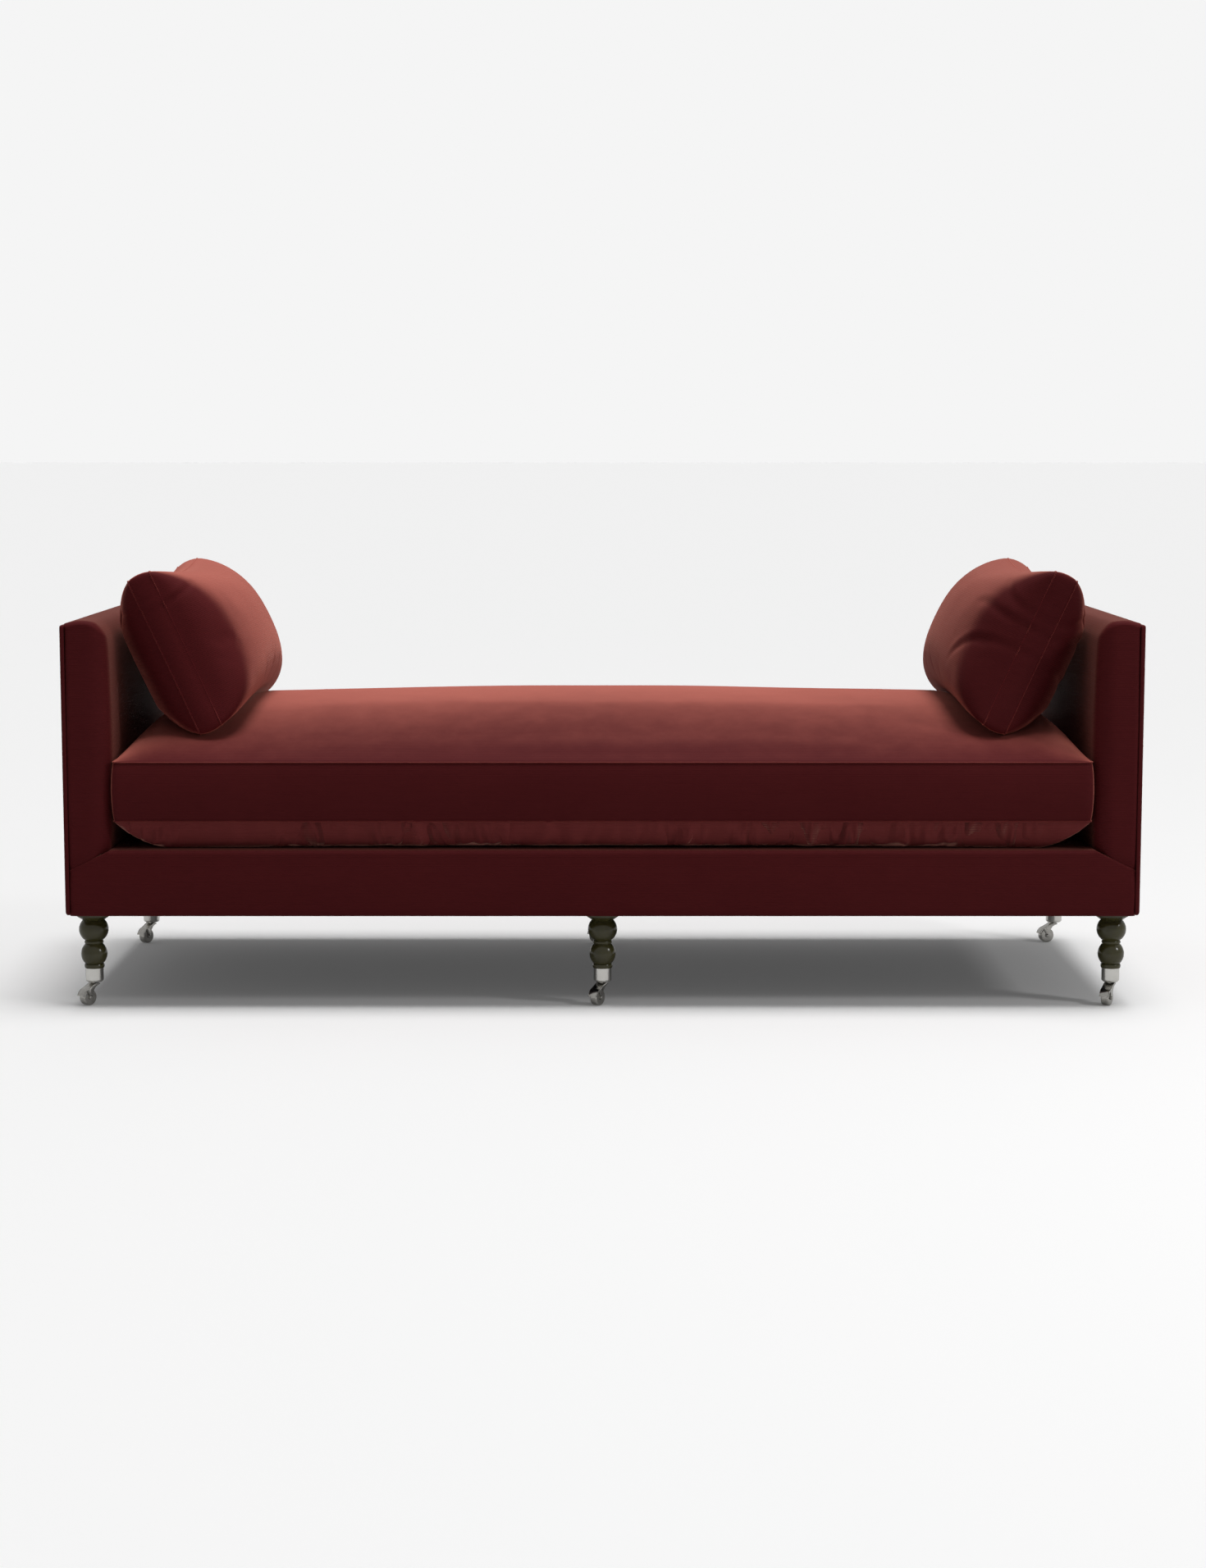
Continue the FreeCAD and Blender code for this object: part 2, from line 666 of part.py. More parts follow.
def turned_across(spot, name, steps):
    """Revolve a half outline about the wheel's axle line, which lies along the castor's own Y."""
    body = new_body(f"{spot}_{name}_body")
    sketch = new_sketch(body, f"{spot}_{name}_outline", "YZ", "-wheel_trail")
    draw_outline(sketch, steps)
    centre_line = sketch.addGeometry(Part.LineSegment(vector(("-1", "wheel_radius")),
                                                      vector(("1", "wheel_radius"))), True)
    pin_point(sketch, centre_line, 1, ("-1", "wheel_radius"))
    pin_point(sketch, centre_line, 2, ("1", "wheel_radius"))
    revolution = body.newObject("PartDesign::Revolution", f"{spot}_{name}_turning")
    revolution.Profile = sketch
    revolution.ReferenceAxis = (sketch, ["Axis0"])
    revolution.Angle = 360
    doc.recompute()
    move(body, *leg_place(spot), turn=f"swivel_{spot}")
    return body


def castor_wheel(spot):
    half = "wheel_width / 2"
    bore = "wheel_radius + axle_radius + axle_clearance"
    bend = f"wheel_edge_radius * {1 - math.sqrt(0.5)}"
    steps = [
        (f"-{half}", bore),
        (half, bore),
        (half, "2 * wheel_radius - wheel_edge_radius"),
        ("via", f"{half} - {bend}", f"2 * wheel_radius - {bend}"),
        (f"{half} - wheel_edge_radius", "2 * wheel_radius"),
        (f"wheel_edge_radius - {half}", "2 * wheel_radius"),
        ("via", f"{bend} - {half}", f"2 * wheel_radius - {bend}"),
        (f"-{half}", "2 * wheel_radius - wheel_edge_radius"),
    ]
    keep(turned_across(spot, "wheel", steps), f"{spot}_caster_wheel")


def castor_axle(spot):
    """The pin through the horn and the wheel, with a domed head at each end."""
    half = "horn_width / 2"
    head = f"{half} + axle_head_height"
    rim = "wheel_radius + axle_head_radius"
    steps = [
        (f"-({head})", "wheel_radius"),
        (head, "wheel_radius"),
        (head, "wheel_radius + axle_radius"),
        (half, rim),
        (half, "wheel_radius + axle_radius"),
        (f"-({half})", "wheel_radius + axle_radius"),
        (f"-({half})", rim),
        (f"-({head})", "wheel_radius + axle_radius"),
    ]
    keep(turned_across(spot, "axle", steps), f"{spot}_caster_axle")


def leg_plates():
    """Steel plates let in under the frame, one over each leg, drilled for its bolt."""
    members = []
    for spot in LEG_PLACES:
        body = new_body(f"{spot}_plate_body")
        half = "leg_plate_side / 2"
        top = "base_bottom_height + leg_plate_thickness"
        plan = rectangle(f"-{half}", half, f"-{half}", half)
        add_slab(body, f"{spot}_plate_slab", "XY", plan, "base_bottom_height", top)
        cut_slab(body, f"{spot}_plate_hole", "XY", "base_bottom_height", top,
                 circles=[("0", "0", "bolt_hole_radius")])
        move(body, *leg_place(spot))
        members.append(body)
    group("leg_plates", members)


def leg_bolts():
    """Double-ended bolts that join each leg to the frame."""
    members = []
    for spot in LEG_PLACES:
        bolt = doc.addObject("Part::Cylinder", f"{spot}_leg_bolt")
        bolt.setExpression("Radius", sized("leg_bolt_radius"))
        bolt.setExpression("Height", sized("leg_bolt_in_leg + leg_bolt_in_frame"))
        move(bolt, *leg_place(spot), "base_bottom_height - leg_bolt_in_leg")
        members.append(bolt)
    group("leg_bolts", members)


def cup_screws():
    """One small screw through the back of each cup into the leg."""
    members = []
    for spot in LEG_PLACES:
        body = new_body(f"{spot}_screw_body")
        sketch = new_sketch(body, f"{spot}_screw_outline", "XY", "cup_screw_height")
        tip = "cup_radius - cup_screw_length"
        draw_outline(sketch, [
            ("0", tip),
            ("cup_screw_radius", tip),
            ("cup_screw_radius", "cup_radius"),
            ("cup_screw_head_radius", "cup_radius"),
            ("cup_screw_radius", "cup_radius + cup_screw_head_height"),
            ("0", "cup_radius + cup_screw_head_height"),
        ])
        revolution = body.newObject("PartDesign::Revolution", f"{spot}_screw_turning")
        revolution.Profile = sketch
        revolution.ReferenceAxis = (sketch, ["V_Axis"])
        revolution.Angle = 360
        doc.recompute()
        move(body, *leg_place(spot))
        members.append(body)
    group("cup_screws", members)


# ---------------------------------------------------------------- the soft pieces

def add_loft(body, name, sections, plane):
    """A faceted loft through rounded rectangles: (offset, half width, half height, corner radius)."""
    sketches = []
    for index, (offset, half_width, half_height, radius) in enumerate(sections):
        sketch = new_sketch(body, f"{name}_section_{index + 1}", plane, offset)
        draw_outline(sketch, rounded_rectangle(half_width, half_height, radius))
        sketches.append(sketch)
    loft = body.newObject("PartDesign::AdditiveLoft", name)
    loft.Profile = sketches[0]
    loft.Sections = sketches[1:]
    loft.Ruled = True
    doc.recompute()
    return loft


def seat_cushion():
    """The thick seat cushion: belly, boxing between two seams, and a crowned top."""
    seam_x = "seat_x - seat_seam_draw"
    seam_y = "seat_depth / 2 - seat_seam_draw"
    belly = "seat_bottom + seat_belly_height"
    top_seam = f"{belly} + seat_boxing_height"
    shoulder = f"{top_seam} + seat_shoulder_height"
    slope = f"{shoulder} + seat_slope_height"
    shoulder_x = f"{seam_x} - seat_shoulder_draw_x"
    shoulder_y = f"{seam_y} - seat_shoulder_draw_y"
    slope_x = f"{shoulder_x} - seat_slope_draw_x"
    slope_y = f"{shoulder_y} - seat_slope_draw_y"
    radius = "seat_corner_radius"
    sections = [
        ("seat_bottom", f"{seam_x} - seat_belly_draw_x", f"{seam_y} - seat_belly_draw_y", radius),
        (belly, seam_x, seam_y, radius),
        (f"{belly} + seat_boxing_height / 2", "seat_x", "seat_depth / 2", radius),
        (top_seam, seam_x, seam_y, radius),
        (shoulder, shoulder_x, shoulder_y, radius),
        (slope, slope_x, slope_y, radius),
        (f"{slope} + seat_top_height", f"{slope_x} - seat_top_draw_x", f"{slope_y} - seat_top_draw_y", radius),
    ]
    body = new_body("seat_cushion_body")
    add_loft(body, "seat_cushion_loft", sections, "XY")
    keep(body, "seat_cushion")


def pillow(label, side):
    """A plump boxed pillow that leans on the arm. Its sections are stacked through its thickness."""
    half_up = "pillow_height / 2"
    half_long = "pillow_length / 2"
    back = "-pillow_thickness / 2"
    front = "pillow_thickness / 2"
    seam_back = "-pillow_boxing_offset - pillow_boxing / 2"
    seam_front = "pillow_boxing / 2 - pillow_boxing_offset"
    draw = "pillow_shoulder_draw"
    face_up = f"{half_up} - pillow_face_draw"
    face_long = f"{half_long} - pillow_face_draw * 1.5"
    radius = "pillow_corner_radius"
    stack = [
        (back, face_up, face_long),
        (f"({back} + {seam_back}) / 2", f"{half_up} - {draw}", f"{half_long} - {draw}"),
        (seam_back, half_up, half_long),
        (seam_front, half_up, half_long),
        (f"{seam_front} + pillow_shoulder", f"{half_up} - {draw}", f"{half_long} - {draw}"),
        (front, face_up, face_long),
    ]
    sections = [(f"{-side} * ({x})", half_long_now, half_up_now, radius) for x, half_up_now, half_long_now in stack]
    body = new_body(f"{label}_body")
    add_loft(body, f"{label}_loft", sections, "YZ")
    move(body, f"{side} * pillow_x", "0", "pillow_centre_height", turn=f"{side} * pillow_lean", axis=(0, 1, 0))
    keep(body, label)


# ---------------------------------------------------------------- the whole daybed

def build():
    long_rail("front_rail", -1)
    long_rail("rear_rail", 1)
    base_cover("base_cover_front", -1)
    base_cover("base_cover_rear", 1)
    for side, hand in ((-1, "left"), (1, "right")):
        end_rail(f"end_rail_{hand}", side)
        arm_post(f"front_{hand}_post", side, -1)
        arm_post(f"rear_{hand}_post", side, 1)
        arm_top_rail(f"arm_top_rail_{hand}", side)
        arm_board(f"arm_board_{hand}", side)
        arm_cover(f"arm_cover_{hand}", side)
        side_panel(f"side_panel_{hand}", side)
        pillow(f"{hand}_pillow", side)
    cross_rail()
    group("corner_blocks", [corner_block(side, face) for side in (-1, 1) for face in (-1, 1)])
    slats()
    slat_ledges()
    deck_x = ("-post_inner_x", "post_inner_x")
    keep(block("deck_pad", deck_x, ("-rail_inner_y", "rail_inner_y"), ("deck_bottom", "base_top")), "deck_cover")
    dust_cover()
    leg_plates()
    leg_bolts()
    cup_screws()
    for spot in LEG_PLACES:
        leg(spot)
        castor_cup(spot)
        castor_horn(spot)
        castor_wheel(spot)
        castor_axle(spot)
    seat_cushion()


def check_and_write():
    """Stop if anything failed to build; otherwise write one file for each piece."""
    doc.recompute()
    failed = [item.Name for item in doc.Objects if {"Invalid", "Error"} & set(item.State)]
    failed += [item.Label for item in pieces if item.Shape.isNull() or not item.Shape.isValid()]
    if failed:
        raise RuntimeError(f"these did not build: {failed}")
    os.makedirs("parts", exist_ok=True)
    for item in pieces:
        item.Shape.exportStep(os.path.join("parts", f"{item.Label}.step"))
        box = item.Shape.BoundBox
        print(f"{item.Label:28s} solids {len(item.Shape.Solids):2d}  volume {item.Shape.Volume / 1000:10.1f} cm3"
              f"  x {box.XMin:8.1f} {box.XMax:8.1f}  y {box.YMin:7.1f} {box.YMax:7.1f}"
              f"  z {box.ZMin:6.1f} {box.ZMax:6.1f}")
    print(f"{len(pieces)} pieces")


build()
check_and_write()
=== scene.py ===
# %% [markdown]
# # A velvet daybed on castors
# This lesson dresses a finished wooden-and-metal model of a daybed in its soft goods and finishes.
# The hard parts come ready made, in metres, standing on the floor at the origin: X runs along the
# daybed, -Y is its front and Z is up. We only read where those parts are and build round them.

# %% Load the hard parts
import math
import random

import bmesh
import bpy
from mathutils import Matrix, Vector, noise
from mathutils.bvhtree import BVHTree


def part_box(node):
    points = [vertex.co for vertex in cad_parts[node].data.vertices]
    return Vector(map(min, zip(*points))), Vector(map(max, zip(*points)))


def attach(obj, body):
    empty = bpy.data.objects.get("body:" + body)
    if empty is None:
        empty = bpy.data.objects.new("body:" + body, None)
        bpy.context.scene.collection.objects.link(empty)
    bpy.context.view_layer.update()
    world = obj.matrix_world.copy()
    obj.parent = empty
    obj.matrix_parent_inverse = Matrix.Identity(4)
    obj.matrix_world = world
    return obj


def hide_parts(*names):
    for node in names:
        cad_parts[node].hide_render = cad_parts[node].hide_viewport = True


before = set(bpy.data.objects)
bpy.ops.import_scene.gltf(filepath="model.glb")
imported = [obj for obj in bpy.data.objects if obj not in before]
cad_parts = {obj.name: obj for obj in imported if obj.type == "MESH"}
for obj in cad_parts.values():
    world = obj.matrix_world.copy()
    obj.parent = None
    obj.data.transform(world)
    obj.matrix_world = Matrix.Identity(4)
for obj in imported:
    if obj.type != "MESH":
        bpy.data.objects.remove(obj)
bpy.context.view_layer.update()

# %% [markdown]
# ## The places everything is built from
# Upholstery is cut to the frame, so every length here is read off the hard parts. If the frame
# grows, the covers grow with it. Writing the numbers down again by hand would also work, but they
# would be wrong after the first change.

# %% Read the places off the frame
arm_low, arm_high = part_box("arm_cover_right")
panel_low, panel_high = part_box("side_panel_right")
base_low, base_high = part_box("base_cover_front")
deck_low, deck_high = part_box("deck_cover")
seat_low, seat_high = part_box("seat_cushion")

END_X = panel_high.x            # outside of the arms
COVER_X = arm_high.x            # where the arm's skin meets its outside panel
ARM_IN_X = arm_low.x            # inside face of the arms
FRONT_Y = -base_low.y           # the front and the back are this far from the middle
BASE_Z = base_low.z             # underside of the base
RAIL_Z = base_high.z            # top of the base's rails
MITRE_Z = arm_low.z             # outer end of the slanting seam
ARM_Z = panel_high.z            # top of the arm's outside panel
CREST_Z = arm_high.z            # highest line of the arm's padding
MM = 0.001
print("arm inside", round(ARM_IN_X, 3), "base", round(BASE_Z, 3), "to", round(RAIL_Z, 3))

# %% [markdown]
# ## Camera
# A long lens from about six metres, a little above the cushions, looks slightly down. A shorter
# lens from nearby would also hold the whole daybed, but its two ends would splay outwards.

# %% Place the camera
LENS = 65.18                    # in millimetres
FRAME_WIDTH = 36                # in millimetres
CAMERA_PLACE = (0.0009, -5.9907, 1.1134)
CAMERA_TILT = math.radians(83.232)

camera_data = bpy.data.cameras.new("camera")
camera_data.lens = LENS
camera_data.sensor_width = FRAME_WIDTH
camera = bpy.data.objects.new("camera", camera_data)
camera.location = CAMERA_PLACE
camera.rotation_euler = (CAMERA_TILT, 0, 0)
bpy.context.scene.collection.objects.link(camera)
bpy.context.scene.camera = camera
print("camera stands", round(-camera.location.y, 2), "m in front")

# %% [markdown]
# ## A short way to write node trees
# The sky, the floor and every finish below are small recipes of nodes. This helper makes a node,
# sets its plain values and joins its inputs, so that a recipe reads like a sentence. The same
# trees could be wired by hand in the editor, but then nobody could read them here.

# %% Node helper
class Recipe:
    """The node tree of a material or of the sky, written one step at a time."""

    def __init__(self, name, kind="materials"):
        self.owner = getattr(bpy.data, kind).new(name)
        self.owner.use_nodes = True
        self.tree = self.owner.node_tree
        self.place = self.add("ShaderNodeTexCoord").outputs

    def add(self, kind, inputs=None, **settings):
        node = self.tree.nodes.new(kind)
        for key, value in settings.items():
            setattr(node, key, value)
        for key, value in (inputs or {}).items():
            self.join(value, node.inputs[key])
        return node

    def join(self, value, socket):
        if isinstance(value, bpy.types.NodeSocket):
            self.tree.links.new(value, socket)
        else:
            socket.default_value = value

    def sum(self, operation, first, second=0.0, third=0.0):
        node = self.add("ShaderNodeMath", {0: first, 1: second, 2: third}, operation=operation)
        return node.outputs[0]

    def ramp(self, value, low, high, start=0.0, end=1.0, **settings):
        """Carry a value that runs from low to high over to one from start to end."""
        node = self.add("ShaderNodeMapRange", {0: value, 1: low, 2: high, 3: start, 4: end}, **settings)
        return node.outputs[0]

    def blend(self, factor, first, second):
        """A number between two, by a factor from 0 to 1."""
        node = self.add("ShaderNodeMix", {0: factor, 2: first, 3: second}, data_type="FLOAT")
        return node.outputs[0]

    def between(self, factor, dark, light):
        """A colour between two, by a factor from 0 to 1."""
        ends = [tone if isinstance(tone, bpy.types.NodeSocket) else (*tone, 1) for tone in (dark, light)]
        node = self.add("ShaderNodeMix", {0: factor, 6: ends[0], 7: ends[1]}, data_type="RGBA")
        return node.outputs[2]

    def along(self, direction):
        """How far a point of the surface lies along a direction, in metres."""
        node = self.add("ShaderNodeVectorMath", {0: self.place["Object"], 1: direction},
                        operation="DOT_PRODUCT")
        return node.outputs["Value"]

    def cloud(self, scale, detail=2.0, stretch=(1, 1, 1), roughness=0.5):
        """Soft random variation, 0 to 1, with so many features to the metre."""
        spread = self.add("ShaderNodeVectorMath", {0: self.place["Object"], 1: stretch},
                          operation="MULTIPLY")
        node = self.add("ShaderNodeTexNoise", {"Vector": spread.outputs[0], "Scale": scale,
                                               "Detail": detail, "Roughness": roughness})
        return node.outputs["Fac"]

    def emboss(self, height, depth, below=None):
        """Raise the surface by a height map, depth in metres."""
        inputs = {"Height": height, "Distance": depth, "Strength": 1.0}
        if below is not None:
            inputs["Normal"] = below
        return self.add("ShaderNodeBump", inputs).outputs[0]

    def finish(self, **sockets):
        """Set or join the surface's own inputs, and hand back the material."""
        surface = self.tree.nodes["Principled BSDF"]
        for name, value in sockets.items():
            self.join(value, surface.inputs[name.replace("_", " ")])
        return self.owner


print("recipes are ready")

# %% [markdown]
# ## The sky
# The backdrop we look at is one pale tone, but the light that the sky gives is dimmer and comes
# mostly from overhead, so that the daybed's fronts stay dark. Shiny parts see an even, brighter
# sky, or the metal would look black. A box of area lamps would work too, but its light fades with
# distance, and the floor would never match the backdrop.

# %% Hang the sky
BACKDROP = 0.913
SKY_TOP = 0.27
SKY_LOW = 0.09
SKY_SHINE = 0.50

bpy.context.scene.view_settings.view_transform = "Standard"
sky = Recipe("studio", "worlds")
bpy.context.scene.world = sky.owner
ray = sky.add("ShaderNodeLightPath").outputs
height = sky.add("ShaderNodeSeparateXYZ", {0: sky.place["Generated"]}).outputs["Z"]
overhead = sky.ramp(height, 0.05, 0.95, SKY_LOW, SKY_TOP, interpolation_type="SMOOTHSTEP")
shine = sky.sum("MULTIPLY", ray["Is Glossy Ray"], SKY_SHINE)
lighting = sky.tree.nodes["Background"]
lighting.inputs["Color"].default_value = (1, 1, 1, 1)
sky.join(sky.sum("MAXIMUM", shine, overhead), lighting.inputs["Strength"])
seen = sky.add("ShaderNodeBackground", {"Color": (BACKDROP, BACKDROP, BACKDROP, 1)})
choose = sky.add("ShaderNodeMixShader",
                 {0: ray["Is Camera Ray"], 1: lighting.outputs[0], 2: seen.outputs[0]})
sky.join(choose.outputs[0], sky.tree.nodes["World Output"].inputs["Surface"])
print("the sky gives", SKY_LOW, "at the horizon and", SKY_TOP, "overhead")

# %% [markdown]
# ## The lamps
# A wide sun, tilted slightly to the right, gathers a soft shadow under the base and makes the
# tops glow. A lamp like a small window, up on the right, puts a spark on the paint and the metal
# and favours the left pillow.

# %% Hang the lamps
SUN_LIGHT = 2.10
SUN_SPREAD = math.radians(27)
SUN_TILT = math.radians(5)
WINDOW_LIGHT = 38
WINDOW_SIZE = (0.6, 0.8)
WINDOW_PLACE = Vector((4.4, -2.2, 2.9))
WINDOW_AIM = Vector((0, 0, 0.2))

sun_data = bpy.data.lights.new("overhead", "SUN")
sun_data.energy = SUN_LIGHT
sun_data.angle = SUN_SPREAD
sun = bpy.data.objects.new("overhead", sun_data)
sun.rotation_euler = (0, SUN_TILT, 0)
bpy.context.scene.collection.objects.link(sun)

window_data = bpy.data.lights.new("side window", "AREA")
window_data.shape = "RECTANGLE"
window_data.size, window_data.size_y = WINDOW_SIZE
window_data.energy = WINDOW_LIGHT
window = bpy.data.objects.new("side window", window_data)
window.location = WINDOW_PLACE
window.rotation_euler = (WINDOW_AIM - WINDOW_PLACE).to_track_quat("-Z", "Y").to_euler()
bpy.context.scene.collection.objects.link(window)
print("the window is", round((WINDOW_AIM - WINDOW_PLACE).length, 2), "m away")

# %% [markdown]
# ## The floor
# One very large pale plane. It shows itself as pale as the backdrop, so that no horizon is seen,
# but throws back less light than it shows, as the dark fronts above it need.

# %% Lay the floor
FLOOR_SHADE = 0.91
FLOOR_LIFT = 0.072
FLOOR_BOUNCE = 0.40
FLOOR_WIDTH = 400

bpy.ops.mesh.primitive_plane_add(size=FLOOR_WIDTH)
floor = bpy.context.object
floor.name = "floor"
pale = Recipe("pale floor")
floor.data.materials.append(pale.finish(
    Base_Color=(FLOOR_SHADE, FLOOR_SHADE, FLOOR_SHADE, 1), Roughness=1, Specular_IOR_Level=0,
    Emission_Color=(1, 1, 1, 1), Emission_Strength=FLOOR_LIFT))
ray = pale.add("ShaderNodeLightPath").outputs
bounce = pale.add("ShaderNodeBsdfDiffuse", {"Color": (FLOOR_BOUNCE, FLOOR_BOUNCE, FLOOR_BOUNCE, 1)})
share = pale.sum("MULTIPLY_ADD", ray["Is Glossy Ray"], 0.5, ray["Is Camera Ray"])
choose = pale.add("ShaderNodeMixShader", {0: share, 1: bounce.outputs[0],
                                          2: pale.tree.nodes["Principled BSDF"].outputs[0]})
pale.join(choose.outputs[0], pale.tree.nodes["Material Output"].inputs["Surface"])
print("floor is", floor.dimensions.x, "m wide")

# %% [markdown]
# ## Velvet
# The cover is a rust-red velvet with a very fine rib. Two things make velvet look like velvet:
# a pile that is dark when we look down into it and pale when we look across its tips, which the
# sheen gives, helped by a painted sheen, a paler colour mixed in towards glancing faces; and
# patches where the pile leans another way, which slow clouds of colour give. The ribs run level
# on upright faces and lengthwise on tops, so the recipe asks for both directions and fades
# between them by slope.

# %% Ribs and streaks
RIB_PITCH = 3.6 * MM


def ribs_and_streaks(cloth, upright, flat):
    """Ribs counted along upright on walls and along flat on tops, and thin streaks between them."""
    facing = cloth.add("ShaderNodeVectorMath", {0: cloth.place["Normal"], 1: (0, 0, 1)},
                       operation="DOT_PRODUCT").outputs["Value"]
    level = cloth.ramp(cloth.sum("ABSOLUTE", facing), 0.55, 0.85)
    wander = cloth.sum("MULTIPLY", cloth.cloud(9, 3), 2.2)
    waves = []
    for direction in (upright, flat):
        turns = cloth.sum("MULTIPLY_ADD", cloth.along(direction), 2 * math.pi / RIB_PITCH, wander)
        waves.append(cloth.sum("SINE", turns))
    streaks = [cloth.cloud(210, 3, stretch, 0.6) for stretch in ((0.045, 0.045, 1), (0.045, 1, 0.045))]
    return cloth.blend(level, *waves), cloth.blend(level, *streaks)


print("a rib every", round(RIB_PITCH / MM, 1), "mm")

# %% Velvet recipe
PILE_DARK = (0.080, 0.0054, 0.0076)
PILE_LIGHT = (0.121, 0.0126, 0.0140)
# The next colour is painted sheen, mixed in where faces are seen edge-on.
PAINTED_SHEEN_COLOUR = (0.60, 0.165, 0.125)
TIP_GLOW = (1.0, 0.44, 0.35, 1)


def tinted(colour, shade):
    return [part * factor for part, factor in zip(colour, shade)]


def velvet(name, upright=(0, 0, 1), flat=(0, 1, 0), glow=0.35, shade=(1, 1, 1), sheen_paint=1.0, slack=0.0):
    """Ribbed velvet. glow is its sheen; shade scales its colours, which makes painted light or shade on
    some copies; the paler colour painted in towards glancing faces is a painted sheen with its own scale;
    slack adds gathers.
    """
    cloth = Recipe(name)
    rib, streak = ribs_and_streaks(cloth, upright, flat)
    slub = cloth.ramp(streak, 0.60, 0.72)
    grain = cloth.cloud(1400, 2)
    nap = cloth.cloud(2.3, 3, roughness=0.55)
    mottle = cloth.cloud(21, 4, roughness=0.6)
    tone = cloth.sum("MULTIPLY", mottle, 0.30)
    for part, weight in ((nap, 0.62), (streak, 0.42), (slub, -0.30), (rib, 0.055)):
        tone = cloth.sum("MULTIPLY_ADD", part, weight, tone)
    tone = cloth.sum("MULTIPLY_ADD", grain, 0.18, cloth.sum("SUBTRACT", tone, 0.28))
    pile = cloth.between(tone, tinted(PILE_DARK, shade), tinted(PILE_LIGHT, shade))
    # Painted sheen: a paler colour is mixed into the base colour where a face is seen edge-on, shifted a
    # little by the nap's clouds and the mottle.
    across = cloth.add("ShaderNodeLayerWeight", {"Blend": 0.5}).outputs["Facing"]
    nap_and_painted_sheen = cloth.sum("SUBTRACT", cloth.sum("MULTIPLY_ADD", nap, 0.12, across), 0.11)
    nap_and_painted_sheen = cloth.sum("MULTIPLY_ADD", mottle, 0.10, nap_and_painted_sheen)
    painted_sheen_share = cloth.ramp(nap_and_painted_sheen, 0.36, 1.0, interpolation_type="SMOOTHSTEP")
    colour = cloth.between(painted_sheen_share, pile, tinted(PAINTED_SHEEN_COLOUR, (sheen_paint, sheen_paint, sheen_paint)))
    swell = cloth.emboss(cloth.cloud(14, 3), 1.1 * MM)
    if slack:
        ridge = cloth.ramp(cloth.cloud(26, 1, (1, 1, 0.16)), 0.48, 0.74)
        patch = cloth.ramp(cloth.cloud(3.4, 1, (1, 1, 0)), 0.40, 0.54)
        swell = cloth.emboss(cloth.sum("MULTIPLY", ridge, patch), slack, swell)
    ribbed = cloth.emboss(rib, 0.10 * MM, swell)
    fine = cloth.emboss(grain, 0.10 * MM, ribbed)
    return cloth.finish(Base_Color=colour, Normal=fine, Roughness=0.72, Specular_IOR_Level=0.12,
                        Sheen_Weight=glow, Sheen_Roughness=0.34, Sheen_Tint=TIP_GLOW)


fixed_velvet = velvet("velvet on the frame", flat=(1, 0, 0), glow=0.13, sheen_paint=0.30)
seat_velvet = velvet("velvet of the seat", glow=0.32)
# A lighter, browner copy of the seat's velvet for its lower panel: painted light on a face that looks down.
belly_velvet_lightened = velvet("velvet under the seat", glow=0.9, shade=(2.1, 3.9, 3.2), sheen_paint=0.5, slack=24 * MM)
# A slightly lighter copy for the seam edges: a painted highlight along the rolled seams.
seam_velvet_highlighted = velvet("velvet seam edge", glow=0.24, shade=(1.2, 1.2, 1.2))
print("velvets:", fixed_velvet.name, "/", seat_velvet.name)

# %% [markdown]
# ## Skins
# Upholstery is sheet material, so most pieces here are skins: rows of points joined by quads.
# A swept row is easy to control, unlike a bevelled box, because each row can be given exactly
# the roll or the sag that the padding has there.

# %% Skin helper
def skin(name, rows, material, body, loop=False, swap=False):
    """Join rows of points into a smooth sheet of quads that rides on one of the frame's bodies."""
    width = len(rows[0])
    points = [point for row in rows for point in row]
    faces = []
    for row in range(len(rows) - 1):
        for column in range(width if loop else width - 1):
            following = (column + 1) % width
            corners = (row * width + column, row * width + following,
                       (row + 1) * width + following, (row + 1) * width + column)
            faces.append(corners[::-1] if swap else corners)
    mesh = bpy.data.meshes.new(name)
    mesh.from_pydata(points, [], faces)
    return dress(bpy.data.objects.new(name, mesh), material, body)


def dress(piece, material, body):
    """Link a piece, shade it smooth, and give it its material and its body."""
    bpy.context.scene.collection.objects.link(piece)
    piece.data.materials.append(material)
    piece.data.polygons.foreach_set("use_smooth", [True] * len(piece.data.polygons))
    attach(piece, body)
    return piece


def spread(start, end, count):
    """Evenly spaced values from start to end, both included."""
    return [start + (end - start) * step / (count - 1) for step in range(count)]


def quarter(count):
    """(sine, 1 - cosine) pairs from upright to level, for rolling an edge over."""
    return [(math.sin(turn), 1 - math.cos(turn)) for turn in spread(0, math.pi / 2, count)]


print("a rolled edge takes", len(quarter(7)), "rows")

# %% [markdown]
# ## The base's front and back
# A hardwood rail is padded with a thin layer and covered by one strip of velvet. The strip rolls
# over the rail's top between the arms, and at each end it is cut along a slant, where it is sewn
# to the arm's cover. The edge dips a little into that seam.

# %% Cover the base
EDGE_ROLL = 9 * MM
SEAM_DIP = 2.6 * MM
TUCK_IN = 7 * MM
FACE_PUFF = 2.0 * MM


def seam_height(x):
    """Height of the slanting seam at a distance from the middle."""
    share = (abs(x) - ARM_IN_X) / (COVER_X - ARM_IN_X)
    return RAIL_Z - max(share, 0) * (RAIL_Z - MITRE_Z)


def base_columns():
    middle = spread(-ARM_IN_X, ARM_IN_X, 161)
    end = spread(ARM_IN_X + 3 * MM, COVER_X, 15) + [COVER_X + 0.4 * MM]
    return [-x for x in reversed(end)] + middle + end


